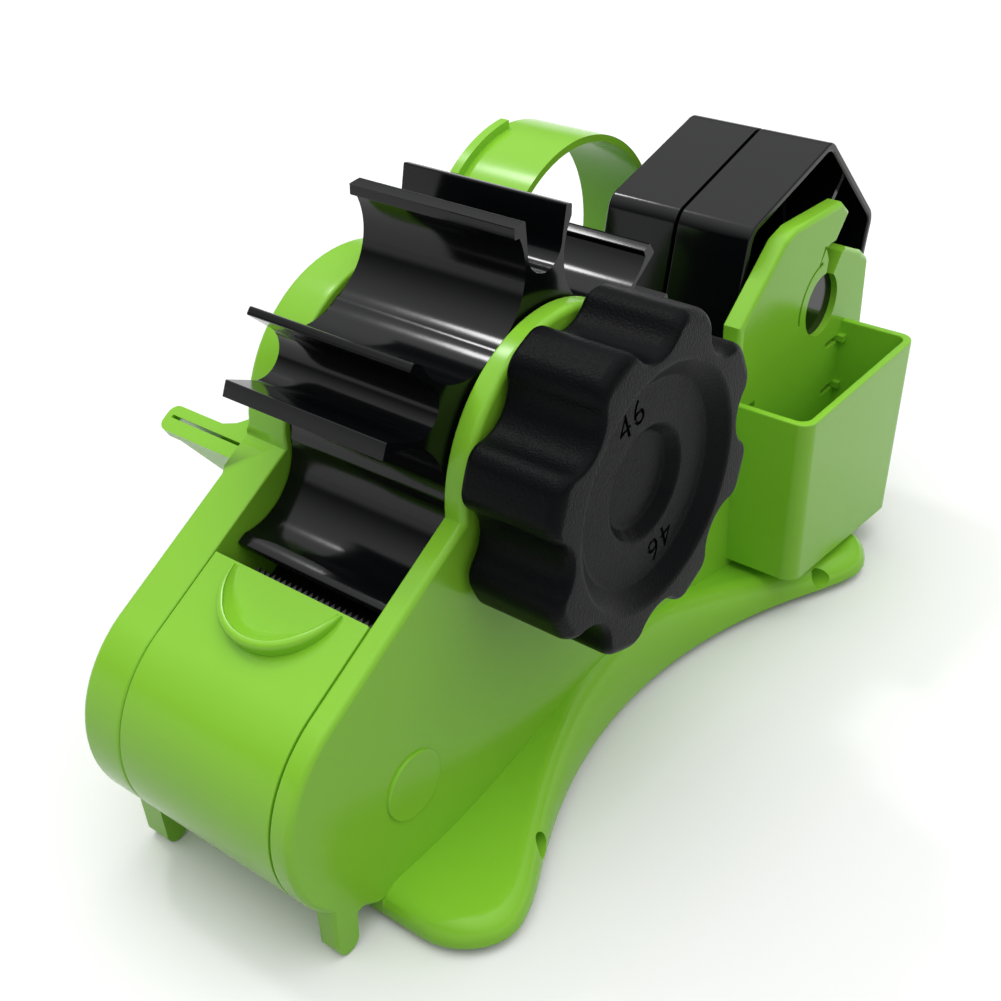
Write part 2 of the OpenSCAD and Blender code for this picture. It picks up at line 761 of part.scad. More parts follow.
// Outline of the knob: round lobes that run smoothly into the flutes between them
module knob_outline() {
    step = 360 / knob_lobes;
    lobe_at = knob_r - knob_lobe_r;
    reach = knob_lobe_r + flute_r;
    aside = lobe_at * sin(step / 2);
    flute_at = lobe_at * cos(step / 2) + sqrt(reach * reach - aside * aside) - tuck;
    difference() {
        union() {
            circle(flute_at - flute_r + 1);
            for (i = [0 : knob_lobes - 1]) rotate(knob_rest + i * step)
                translate([lobe_at, 0]) circle(knob_lobe_r);
        }
        for (i = [0 : knob_lobes - 1]) rotate(knob_rest + (i + 0.5) * step)
            translate([flute_at, 0]) circle(flute_r);
    }
}

// Cone-shaped cut around the drum axis, from r0 at x0 to r1 at x1 and a little further
module funnel(x0, x1, r0, r1) {
    over = 0.5;
    translate([x0, 0, 0]) rotate([0, 90, 0])
        cylinder(h = x1 - x0 + over, r1 = r0, r2 = r1 + (r1 - r0) * over / (x1 - x0));
}

// Hollow knob with a dished face and a hub on the shaft
module knob() {
    floor_t = 2.4;
    hub_r = shaft_r + 3.5;
    color(black) place() difference() {
        along_x(knob_back, knob_face) knob_outline();
        funnel(knob_face - dish_depth, knob_face, dish_r - dish_slope, dish_r);
        funnel(cap_x, cap_x + pit_depth, pit_r - pit_slope, pit_r);
        rod([0, 0], pit_x, knob_face, knob_cap_r);
        rod([0, 0], knob_seat_x, knob_face, knob_head_r + 0.6);
        rod([0, 0], shaft_end - 1, knob_face, screw_r + 0.2);
        rod([0, 0], knob_back - 1, shaft_end, shaft_r);
        difference() {
            rod([0, 0], knob_back - 1, pit_x - floor_t, knob_r - 9.5);
            rod([0, 0], knob_back - 2, knob_face, hub_r);
        }
    }
}

// Screw that clamps the knob on the shaft
module knob_screw() {
    color(steel) place() translate([knob_seat_x + knob_head_h, 0, 0]) rotate([0, -90, 0])
        screw(knob_screw_len, screw_r, knob_head_r, knob_head_h);
}

// Plain disc that covers the knob's screw
module knob_cap() {
    color(black) place() rod([0, 0], pit_x, cap_x, knob_cap_r);
}

// Cam with six teeth: each swings the cutter's finger out and lets it go just before a stop
module cam_wheel() {
    color(black) place() difference() {
        along_x(cam_x[0], cam_x[1]) {
            circle(cam_base_r);
            for (i = [0 : lobe_count - 1]) rotate(cam_rest + i * pitch)
                polygon([[tooth_half, 0], [tooth_half, cam_r], [-tooth_half, cam_r],
                         [-tooth_lead, cam_base_r - 1], [-tooth_lead, 0]]);
        }
        rod([0, 0], cam_x[0] - 1, cam_x[1] + 1, shaft_r);
    }
}

// Spring clip in the shaft's groove that keeps the cam on
module shaft_clip() {
    x0 = cam_x[0] - 0.8;
    color(steel) place() difference() {
        rod([0, 0], x0, x0 + 0.7, shaft_r + 2.2);
        rod([0, 0], x0 - 1, x0 + 2, shaft_r - 0.8);
        translate([x0 - 1, -shaft_r * 0.6, 0]) cube([3, shaft_r * 1.2, 20]);
    }
}

// One hollow spool half: rim, inner web, hub and ribs, open at its outer end
module spool_half(side) {
    rim_t = 2;
    web_t = 2;
    rib_t = 1.6;
    hub_r = journal_r + 2.4;
    x_in = half_gap / 2;
    x_out = spool_w / 2;
    rib_x = x_out - 3;
    color(black) place() translate([0, spool[0], spool[1]]) mirror([side < 0 ? 1 : 0, 0, 0]) difference() {
        union() {
            difference() {
                along_x(x_in, x_out) rounded_polygon(spool_sides, core_r, core_round, spool_rest);
                along_x(x_in + web_t, x_out + 1)
                    rounded_polygon(spool_sides, core_r - rim_t / cos(30), core_round - 1.2, spool_rest);
            }
            rod([0, 0], x_in + web_t / 2, x_out, hub_r);
            for (i = [0 : spool_sides - 1]) along_x(x_in + web_t / 2, rib_x) rotate(spool_rest + 30 + i * 60)
                translate([hub_r - 1, -rib_t / 2]) square([core_r * cos(30) - hub_r, rib_t]);
        }
        rod([0, 0], -1, x_out + 1, journal_r);
    }
}

module spool_half_left() { spool_half(-1); }

module spool_half_right() { spool_half(1); }

// Hollow axle whose ends are the spool's journals
module spool_axle() {
    wall = 2.6;
    disc_t = 2;
    end_x = right_out - 1.6;
    color(black) place() difference() {
        rod(spool, plate_in - 2, end_x, journal_r);
        rod(spool, plate_in - 3, end_x - disc_t, journal_r - wall);
    }
}

// Side outline of the nose and the cover's flat of the given length, t inside its edge
module nose_outline(t, flat) {
    translate(nose) circle(nose_r - t, $fn = 128);
    translate(nose) rotate(slant) square([flat, nose_r - tuck - t]);
}

// Curved front cover, hinged at the nose, with a half-moon finger pull at its top edge
module front_cover() {
    far = 3 * nose_r;
    up_slope = [cos(slant), sin(slant)];
    color(green) place() {
        along_x(-cover_half, cover_half) {
            intersection() {
                difference() {
                    nose_outline(0, cover_flat);
                    nose_outline(skin, far);
                }
                polygon([nose, nose + far * [cos(hinge_turn), sin(hinge_turn)], nose + far * [-2, -1],
                         nose + far * [-2, 1], nose + far * (slant_n + up_slope), nose + far * up_slope]);
            }
            translate(hinge) circle(barrel_r - tuck);
        }
        finger_pull();
        rod(hinge, -cover_half - skin, -cover_half + 1, pivot_r);
        rod(hinge, cover_half - 1, cover_half + skin, pivot_r);
    }
}

// Half-moon ridge at the cover's top edge: steep outside, sloped inside, lower towards its ends
module finger_pull() {
    root = 1;
    shift = 2.5;
    rim = 1.3;
    lean = 2.3 / 3;
    top_r = pull_r - rim + shift;
    far_r = top_r + 2 * root * lean;
    near_r = far_r - (pull_h + 4 * root) * lean;
    translate([0, cover_top[0], cover_top[1]]) rotate([slant, 0, 0]) difference() {
        translate([0, 0, -root]) cylinder(h = pull_h + root, r = pull_r);
        translate([0, shift, -2 * root]) cylinder(h = pull_h + 4 * root, r1 = near_r, r2 = far_r);
        translate([-2 * pull_r, -0.5, -2 * root]) cube([4 * pull_r, 2 * pull_r, pull_h + 4 * root]);
    }
}

// Outline helper: local axes at the blade, first number outward from the drum, second towards the shaft
function cut(r, t) = r * cut_r + t * cut_t;

// Shaft on which the cutter swings
module cutter_shaft() {
    color(steel) place() rod(cutter, cavity_out + 0.6, wall_in + 2.4, cutter_shaft_r);
}

// Swinging arm that carries the blade
module cutter_arm() {
    hub_r = cutter_shaft_r + 2;
    r1 = seat_r + seat_h;
    face = blade_t / 2;
    rim = 6.5;
    color(black) place() difference() {
        along_x(-arm_half, arm_half) {
            polygon([cut(seat_r, face), cut(r1, face), cut(r1, arm_len), cut(seat_r, arm_len)]);
            translate(cutter) circle(hub_r);
        }
        rod(cutter, -arm_half - 1, arm_half + 1, cutter_shaft_r);
        along_x(-arm_half + rim, arm_half - rim)
            polygon([cut(seat_r - 1, rim), cut(r1 + 1, rim),
                     cut(r1 + 1, arm_len - rim), cut(seat_r - 1, arm_len - rim)]);
        clamp_holes(clamp_screw_r);
    }
}

// Thin toothed blade that reaches towards the drum
module cutter_blade() {
    tooth_h = 1.4;
    count = 22;
    overhang = 1;
    half = arm_half + overhang;
    step = 2 * half / count;
    color(steel) place() difference() {
        blade_frame() translate([0, 0, -blade_t / 2]) linear_extrude(blade_t) polygon(concat(
            [[half, blade_w], [-half, blade_w]],
            [for (i = [0 : count - 1]) each [[-half + i * step, tooth_h], [-half + (i + 0.5) * step, 0]]],
            [[half, tooth_h]]));
        clamp_holes(clamp_screw_r + 0.2);
    }
}

// Holes for the two clamp screws, across the blade
module clamp_holes(r) {
    blade_frame() for (s = [-1, 1])
        translate([s * (arm_half - clamp_inset), blade_w - seat_h / 2, -8]) cylinder(h = 16, r = r, $fn = 24);
}

// Frame at the blade's tip: X along the drum, Y out from the drum axis, Z across the blade
module blade_frame() {
    p = cut(blade_in, 0);
    translate([0, p[0], p[1]]) rotate([90 + cut_turn, 0, 0]) children();
}

// Strip that presses the blade on the arm
module blade_clamp() {
    color(steel) place() difference() {
        blade_frame() translate([-arm_half, blade_w - seat_h, -blade_t / 2 - clamp_t])
            cube([2 * arm_half, seat_h, clamp_t]);
        clamp_holes(clamp_screw_r + 0.2);
    }
}

// Two small screws through clamp, blade and arm
module clamp_screws() {
    head_z = -blade_t / 2 - clamp_t - clamp_head_h;
    color(steel) place() blade_frame() for (s = [-1, 1])
        translate([s * (arm_half - clamp_inset), blade_w - seat_h / 2, head_z])
            screw(clamp_t + blade_t + clamp_bite, clamp_screw_r, clamp_head_r, clamp_head_h);
}

// Straight bar with round ends between two points of an outline
module bar(p, q, r) {
    side = (r - tuck) * [p[1] - q[1], q[0] - p[0]] / norm(q - p);
    translate(p) circle(r);
    translate(q) circle(r);
    polygon([p + side, p - side, q - side, q + side]);
}

// Lever in the left wall: the cam's teeth push its finger, which swings the cutter's shaft
module follower_lever() {
    arm_r = 2.2;
    elbow = at(lever_turn - 6, cam_r + 2 * arm_r);
    color(black) place() difference() {
        along_x(cam_x[0], cam_x[1]) {
            translate(cutter) circle(cutter_shaft_r + arm_r);
            bar(cutter, elbow, arm_r);
            bar(elbow, finger, finger_r);
        }
        rod(cutter, cam_x[0] - 1, cam_x[1] + 1, cutter_shaft_r);
    }
}

// Torsion spring on the cutter's shaft: a helix with a straight leg at each end
spring_turns = 3;
spring_r = cutter_shaft_r + wire_r + 0.5;
spring_step = 2 * wire_r + 0.45;
spring_x = arm_half + 0.3 + wire_r;
spring_rings = 10;
leg = 7;
helix = [for (i = [0 : spring_turns * spring_rings])
    let (a = i * 360 / spring_rings)
    [spring_x + spring_step * i / spring_rings, spring_r * cos(a), spring_r * sin(a)]];
spring_path = concat([helix[0] - [0, 0, leg]], helix, [helix[len(helix) - 1] + [0, 0, leg]]);
spring_gap = min([for (i = [0 : len(helix) - 1]) for (j = [i + spring_rings - 2 : 1 : len(helix) - 1])
    norm(helix[i] - helix[j])]) - 2 * wire_r;
echo(spring_least_gap = spring_gap);

function unit(v) = v / norm(v);

// Tube of n sides swept along the points of a path
module tube(path, r, n) {
    last = len(path) - 1;
    dirs = [for (i = [0 : last]) unit(path[min(i + 1, last)] - path[max(i - 1, 0)])];
    points = [for (i = [0 : last]) let (u = unit(cross(dirs[i], [1, 0, 0.02])), v = cross(dirs[i], u))
        for (k = [0 : n - 1]) path[i] + r * (cos(k * 360 / n) * u + sin(k * 360 / n) * v)];
    sides = [for (i = [0 : last - 1]) for (k = [0 : n - 1])
        let (a = i * n + k, b = i * n + (k + 1) % n) each [[a, b, b + n], [a, b + n, a + n]]];
    caps = [for (k = [1 : n - 2]) each [[0, k + 1, k], [last * n, last * n + k, last * n + k + 1]]];
    polyhedron(points, [for (f = concat(sides, caps)) [f[2], f[1], f[0]]]);
}

module cutter_spring() {
    color(steel) place() translate([0, cutter[0], cutter[1]]) tube(spring_path, wire_r, 6);
}

base_pan();
left_side_shell();
left_inner_plate();
right_side_shell();
side_roll_ring();
accessory_bin();
left_bush();
right_bush();
rubber_feet();
base_screws();
left_shell_screws();
ring_screws();
drum();
drum_shaft();
knob();
knob_screw();
knob_cap();
cam_wheel();
shaft_clip();
spool_half_left();
spool_half_right();
spool_axle();
front_cover();
cutter_shaft();
cutter_arm();
cutter_blade();
blade_clamp();
clamp_screws();
follower_lever();
cutter_spring();
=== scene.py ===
"""Looks of the semi-automatic tape dispenser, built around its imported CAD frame."""

import json
import logging
import math
from collections.abc import Callable, Iterable, Iterator
from contextlib import contextmanager
from dataclasses import dataclass, field
from enum import Enum
from typing import Any

import bmesh
import bpy
from mathutils import Matrix, Vector


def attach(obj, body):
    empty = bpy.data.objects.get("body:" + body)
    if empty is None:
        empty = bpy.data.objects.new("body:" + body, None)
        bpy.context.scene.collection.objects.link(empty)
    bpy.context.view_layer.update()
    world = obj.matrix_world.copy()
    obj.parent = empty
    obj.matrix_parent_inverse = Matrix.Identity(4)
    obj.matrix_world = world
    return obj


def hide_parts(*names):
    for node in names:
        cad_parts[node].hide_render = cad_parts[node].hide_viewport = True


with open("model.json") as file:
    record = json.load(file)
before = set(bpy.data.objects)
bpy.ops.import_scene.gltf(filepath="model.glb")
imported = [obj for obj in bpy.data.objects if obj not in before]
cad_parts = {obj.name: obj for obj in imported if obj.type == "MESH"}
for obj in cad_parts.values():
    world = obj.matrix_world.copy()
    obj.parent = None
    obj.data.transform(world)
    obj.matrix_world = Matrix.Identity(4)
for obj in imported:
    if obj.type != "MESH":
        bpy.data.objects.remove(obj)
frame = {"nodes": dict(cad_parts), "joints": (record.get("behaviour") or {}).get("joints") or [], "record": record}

LOG = logging.getLogger("tape_dispenser")
MM = 0.001
# Faces that meet at less than this angle shade as one.
SMOOTH_DEG = 35.0
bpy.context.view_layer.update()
JOINT_AT = {joint["name"]: Vector(joint["pos_m"]) for joint in frame["joints"]}
DRUM_AXIS = JOINT_AT["drum_turn"]
# Points this near a plane count as lying in it.
NEAR_MM = 0.05
# Points of a lofted skin nearer than this become one.
RING_WELD_MM = 0.0005
# Neighbouring faces of a CAD mesh that turn by less than this become one.
FLAT_DEG = 0.6
# Least share of a direction that lies along X for it to count as such, and most for it to count as across.
ALONG, ACROSS = 0.98, 0.2


class Body(Enum):
    """The rigid bodies that carry mouldings."""

    FRAME = "frame"
    DRUM = "drum"
    SPOOL = "spool"
    COVER = "cover"


class Slot(Enum):
    """The record's material slots."""

    GREEN = "green_plastic"
    BLACK = "black_plastic"
    KNOB = "knob_plastic"
    STEEL = "steel"
    BRASS = "brass"
    RUBBER = "rubber"


def linear(hex_colour: str) -> tuple[float, float, float, float]:
    """Turns an sRGB hex colour into a linear one.

    Args:
        hex_colour: six hex digits after a hash.

    Returns:
        Linear red, green and blue, and an alpha of one.
    """
    parts = [int(hex_colour[i : i + 2], 16) / 255 for i in (1, 3, 5)]
    red, green, blue = (c / 12.92 if c <= 0.04045 else ((c + 0.055) / 1.055) ** 2.4 for c in parts)
    return red, green, blue, 1.0


def add_node(
    tree: bpy.types.NodeTree, kind: str, links: dict[Any, Any] | None = None, **values: Any
) -> bpy.types.Node:
    """Adds a shader node, sets its options and sockets, and links its inputs.

    Args:
        tree: the node tree to add to.
        kind: the node's type name.
        links: input socket name or number to the output socket it reads.
        values: option names, or socket names with spaces as underscores, to their values.

    Returns:
        The new node.
    """
    node = tree.nodes.new(kind)
    for name, value in values.items():
        if hasattr(node, name):
            setattr(node, name, value)
        else:
            node.inputs[name.replace("_", " ")].default_value = value
    for name, output in (links or {}).items():
        tree.links.new(output, node.inputs[name])
    return node


def mix_colours(tree: bpy.types.NodeTree, factor: Any, first: Any, second: Any, target: Any) -> None:
    """Blends two colours into a socket.

    Args:
        tree: the node tree.
        factor: the socket that blends them.
        first: the linear colour at zero.
        second: the linear colour at one.
        target: the socket that takes the blend.
    """
    mix = add_node(tree, "ShaderNodeMix", {"Factor": factor}, data_type="RGBA")
    # A mix node has sockets of one name for each data type; these are its colours.
    mix.inputs[6].default_value, mix.inputs[7].default_value = first, second
    tree.links.new(mix.outputs[2], target)


@dataclass(frozen=True)
class Finish:
    """A moulded or drawn surface: colour, gloss and the fine grain left by its making.

    Attributes:
        name: the material's common name and how its surface was made.
        colour: sRGB hex colour.
        roughness: mean roughness.
        spread: how far the roughness varies over the surface.
        patch_mm: size of the patches over which it varies.
        shade: how far the colour varies, as a share of its value.
        metallic: one for a metal.
        ior: index of refraction, for what isn't a metal.
        shine: strength of the surface's mirror share.
        wave_mm: length of the skin's shallow waves, or zero for none.
        wave_depth_mm: depth of those waves.
        grain_mm: size of the fine grain, or zero for none.
        grain_depth_mm: depth of the grain.
    """

    name: str
    colour: str
    roughness: float
    spread: float
    patch_mm: float
    shade: float = 0.05
    metallic: float = 0.0
    ior: float = 1.5
    shine: float = 0.5
    wave_mm: float = 0.0
    wave_depth_mm: float = 0.0
    grain_mm: float = 0.0
    grain_depth_mm: float = 0.0

    def build(self) -> bpy.types.Material:
        """Makes the material.

        Returns:
            The new material.
        """
        material = bpy.data.materials.new(self.name)
        material.use_nodes = True
        tree = material.node_tree
        shader = tree.nodes["Principled BSDF"]
        shader.inputs["Metallic"].default_value = self.metallic
        if self.metallic == 0.0:
            shader.inputs["IOR"].default_value = self.ior
        shader.inputs["Specular IOR Level"].default_value = self.shine
        place = add_node(tree, "ShaderNodeTexCoord").outputs["Object"]
        patches = self.noise(tree, place, self.patch_mm, detail=3.0)
        base = linear(self.colour)[:3]
        dark = [c * (1 - self.shade) for c in base] + [1.0]
        light = [c * (1 + self.shade) for c in base] + [1.0]
        mix_colours(tree, patches, dark, light, shader.inputs["Base Color"])
        low, high = self.roughness - self.spread, self.roughness + self.spread
        gloss = add_node(tree, "ShaderNodeMapRange", {"Value": patches}, To_Min=low, To_Max=high)
        tree.links.new(gloss.outputs["Result"], shader.inputs["Roughness"])
        normal = None
        for size, depth in ((self.wave_mm, self.wave_depth_mm), (self.grain_mm, self.grain_depth_mm)):
            if size > 0:
                links = {"Height": self.noise(tree, place, size, detail=2.0)} | ({"Normal": normal} if normal else {})
                bump = add_node(tree, "ShaderNodeBump", links, Strength=1.0, Distance=depth * MM)
                normal = bump.outputs["Normal"]
        if normal:
            tree.links.new(normal, shader.inputs["Normal"])
        return material

    @staticmethod
    def noise(tree: bpy.types.NodeTree, place: Any, size_mm: float, detail: float) -> bpy.types.NodeSocket:
        """Adds a noise pattern of a real size.

        Args:
            tree: the material's node tree.
            place: the socket with the place on the piece.
            size_mm: the pattern's size.
            detail: how many finer layers it has.

        Returns:
            The pattern's output socket.
        """
        kind, scale = "ShaderNodeTexNoise", 1 / (size_mm * MM)
        return add_node(tree, kind, {"Vector": place}, Scale=scale, Detail=detail).outputs["Fac"]


# Lime ABS from a polished mould: clear gloss over an even colour, with faint flow patches and shallow waves.
LIME_ABS = Finish(
    "lime_abs_polished_moulding", "#8ACB35", 0.2, 0.04, 30.0, shine=0.28, wave_mm=9.0, wave_depth_mm=0.02
)
# Black ABS from a polished mould: deep colour and sharp highlights.
BLACK_ABS = Finish(
    "black_abs_polished_moulding", "#090A0C", 0.13, 0.03, 24.0, shine=0.26, wave_mm=8.0, wave_depth_mm=0.02
)
# Black ABS from an eroded mould: a fine even grain that breaks the highlights into speckles.
# The real grain is about 0.15 mm; it is drawn coarser so that it shows.
GRAINED_ABS = Finish(
    "black_abs_grained_moulding", "#08090B", 0.34, 0.05, 18.0, shine=0.06, grain_mm=0.45, grain_depth_mm=0.12
)
# Blackened steel for the blade and its clamp: dark, with a dull sheen.
BLACKED_STEEL = Finish("blackened_steel", "#1B1C1E", 0.4, 0.06, 3.0, shine=0.4)
# Drawn steel for shafts and screws: soft grey metal with blurred reflections.
DRAWN_STEEL = Finish("drawn_steel", "#B9BCC0", 0.32, 0.05, 4.0, metallic=1.0)
# Turned brass for the bushes: warm yellow metal with a soft gleam.
TURNED_BRASS = Finish("turned_brass", "#B08D4C", 0.3, 0.05, 3.0, metallic=1.0)
# Natural rubber pads: dull and a little grey.
PAD_RUBBER = Finish("moulded_rubber", "#262626", 0.75, 0.05, 5.0, shine=0.3, grain_mm=0.5, grain_depth_mm=0.05)

FINISH_OF = {
    Slot.GREEN: LIME_ABS,
    Slot.BLACK: BLACK_ABS,
    Slot.KNOB: GRAINED_ABS,
    Slot.STEEL: DRAWN_STEEL,
    Slot.BRASS: TURNED_BRASS,
    Slot.RUBBER: PAD_RUBBER,
}
# Nodes whose finish isn't their slot's first one.
FINISH_OF_NODE = {"cutter_blade": BLACKED_STEEL, "blade_clamp": BLACKED_STEEL, "clamp_screws": BLACKED_STEEL}


@dataclass
class Palette:
    """Builds each finish once and hands it out."""

    made: dict[str, bpy.types.Material] = field(default_factory=dict)

    def of(self, finish: Finish) -> bpy.types.Material:
        """Hands out the material of a finish.

        Args:
            finish: the finish.

        Returns:
            Its material, made on first use.
        """
        if finish.name not in self.made:
            self.made[finish.name] = finish.build()
        return self.made[finish.name]


def pick(obj: bpy.types.Object) -> None:
    """Selects one object alone and makes it active.

    Args:
        obj: the object.
    """
    bpy.ops.object.select_all(action="DESELECT")
    obj.select_set(True)
    bpy.context.view_layer.objects.active = obj


@contextmanager
def edit(obj: bpy.types.Object, mode: str | None = None) -> Iterator[bmesh.types.BMesh]:
    """Opens a piece in edit mode and closes it again.

    Args:
        obj: the piece.
        mode: what is to be selected, EDGE or FACE, starting from nothing, or None to leave the selection.

    Yields:
        The open mesh.
    """
    pick(obj)
    bpy.ops.object.mode_set(mode="EDIT")
    if mode:
        bpy.ops.mesh.select_mode(type=mode)
        bpy.ops.mesh.select_all(action="DESELECT")
    yield bmesh.from_edit_mesh(obj.data)
    bpy.ops.object.mode_set(mode="OBJECT")


def select(obj: bpy.types.Object, items: Iterable[Any]) -> None:
    """Selects edges or faces of a piece that is open in edit mode.

    Args:
        obj: the piece.
        items: its edges or faces.
    """
    for item in items:
        item.select_set(True)
    bmesh.update_edit_mesh(obj.data)


def from_axis(vert: bmesh.types.BMVert) -> Vector:
    """Returns a point's place in millimetres from the drum axis."""
    return (vert.co - DRUM_AXIS) / MM


def apply_modifier(obj: bpy.types.Object, kind: str, **values: Any) -> None:
    """Adds a modifier, sets it and applies it.

    Args:
        obj: the object to change.
        kind: the modifier's type.
        values: its settings.
    """
    pick(obj)
    modifier = obj.modifiers.new(kind.lower(), kind)
    for name, value in values.items():
        setattr(modifier, name, value)
    bpy.ops.object.modifier_apply(modifier=modifier.name)


def new_object(name: str, data: bpy.types.ID) -> bpy.types.Object:
    """Puts a mesh, camera or light into the scene as a new object.

    Args:
        name: the object's name.
        data: its mesh, camera or light.

    Returns:
        The new object.
    """
    obj = bpy.data.objects.new(name, data)
    bpy.context.scene.collection.objects.link(obj)
    return obj


def loft(name: str, rings: list[list[Vector]]) -> bpy.types.Object:
    """Makes a skin over closed rings of points, with its first and last rings filled.

    Args:
        name: the new object's name.
        rings: rings of equally many points, in millimetres from the drum axis.

    Returns:
        The new object, with its faces outwards.
    """
    count = len(rings[0])
    points = [DRUM_AXIS + point * MM for ring in rings for point in ring]
    faces = [
        (k * count + i, k * count + (i + 1) % count, (k + 1) * count + (i + 1) % count, (k + 1) * count + i)
        for k in range(len(rings) - 1)
        for i in range(count)
    ]
    faces += [tuple(range(count)), tuple(range((len(rings) - 1) * count, len(rings) * count))]
    mesh = bpy.data.meshes.new(name)
    mesh.from_pydata(points, [], faces)
    obj = new_object(name, mesh)
    with edit(obj):
        bpy.ops.mesh.select_all(action="SELECT")
        bpy.ops.mesh.remove_doubles(threshold=RING_WELD_MM * MM)
        bpy.ops.mesh.normals_make_consistent(inside=False)
    return obj


@dataclass(frozen=True)
class EdgeSpot:
    """One edge of a moulding, in millimetres from the drum axis.

    Attributes:
        ends: its two end points.
        normals: the normals of the two faces beside it.
    """

    ends: tuple[Vector, Vector]
    normals: tuple[Vector, Vector]

    @property
    def mid(self) -> Vector:
        """The edge's middle."""
        return (self.ends[0] + self.ends[1]) / 2

    @property
    def run(self) -> Vector:
        """The way from one end to the other."""
        return self.ends[1] - self.ends[0]

    def on_x(self, x: float) -> bool:
        """Says whether the whole edge lies in the plane at x."""
        return all(abs(end.x - x) < NEAR_MM for end in self.ends)

    def along_x(self) -> bool:
        """Says whether the edge runs along X."""
        return abs(self.run.x) > ALONG * self.run.length

    def reach(self, y: float = 0.0, z: float = 0.0) -> float:
        """Returns the distance of the edge's middle from the line along X through (y, z)."""
        return math.hypot(self.mid.y - y, self.mid.z - z)


@dataclass(frozen=True)
class Rounding:
    """A set of sharp outer edges and the round they get.

    Attributes:
        width_mm: width of the round.
        segments: faces across it.
        wanted: picks the edges.
        least_deg: smallest angle between the faces of an edge that is taken.
    """

    width_mm: float
    segments: int
    wanted: Callable[[EdgeSpot], bool]
    least_deg: float = 25.0

    def takes(self, edge: bmesh.types.BMEdge) -> bool:
        """Says whether an edge belongs to the set.

        Args:
            edge: an edge of the open piece.

        Returns:
            True where it is sharp, points outwards and is wanted.
        """
        if len(edge.link_faces) != 2 or not edge.is_convex:
            return False
        if edge.calc_face_angle() < math.radians(self.least_deg):
            return False
        ends = tuple(from_axis(vert) for vert in edge.verts)
        return self.wanted(EdgeSpot(ends, tuple(face.normal for face in edge.link_faces)))

    def cut(self, obj: bpy.types.Object) -> None:
        """Rounds the edges of the set on a piece.

        Args:
            obj: the piece.
        """
        with edit(obj, "EDGE") as mesh:
            chosen = [edge for edge in mesh.edges if self.takes(edge)]
            count = len(chosen)
            select(obj, chosen)
            if count:
                width = self.width_mm * MM
                bpy.ops.mesh.bevel(
                    offset=width, segments=self.segments, profile=0.5, affect="EDGES", clamp_overlap=False
                )
        LOG.info("  %s: %d edges rounded by %.2f mm", obj.name, count, self.width_mm)


@dataclass
class MouldedPiece:
    """A CAD node's form as a smooth moulding with rounded edges.

    Attributes:
        node: the CAD node it stands for.
        body: the body it moves with.
        slot: the material slot of its finish.
        rounds: the roundings of its edges, in order.
        weld_mm: distance under which neighbouring points become one.
    """

    node: str
    body: Body
    slot: Slot
    rounds: tuple[Rounding, ...] = ()
    weld_mm: float = 0.002

    def copy(self) -> bpy.types.Object:
        """Copies the node's mesh, joins its loose faces and rounds its edges.

        Returns:
            The new object.
        """
        obj = new_object(f"{self.node}_moulding", frame["nodes"][self.node].data.copy())
        with edit(obj):
            bpy.ops.mesh.select_all(action="SELECT")
            bpy.ops.mesh.remove_doubles(threshold=self.weld_mm * MM)
            bpy.ops.mesh.dissolve_limited(angle_limit=math.radians(FLAT_DEG))
        for rounding in self.rounds:
            rounding.cut(obj)
        return obj

    def finish(self, obj: bpy.types.Object, palette: Palette) -> None:
        """Shades a piece smoothly, dresses it and sets it in the node's place.

        Args:
            obj: the piece.
            palette: the finishes.
        """
        pick(obj)
        bpy.ops.mesh.customdata_custom_splitnormals_clear()
        bpy.ops.object.shade_smooth()
        with edit(obj) as mesh:
            for edge in mesh.edges:
                edge.smooth = len(edge.link_faces) == 2 and edge.calc_face_angle() < math.radians(SMOOTH_DEG)
            bmesh.update_edit_mesh(obj.data)
        apply_modifier(obj, "WEIGHTED_NORMAL", keep_sharp=True)
        obj.data.materials.clear()
        obj.data.materials.append(palette.of(FINISH_OF[self.slot]))
        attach(obj, self.body.value)
        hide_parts(self.node)
        LOG.info("%s: %d faces", obj.name, len(obj.data.polygons))

    def build(self, palette: Palette) -> None:
        """Builds and dresses the piece."""
        self.finish(self.copy(), palette)


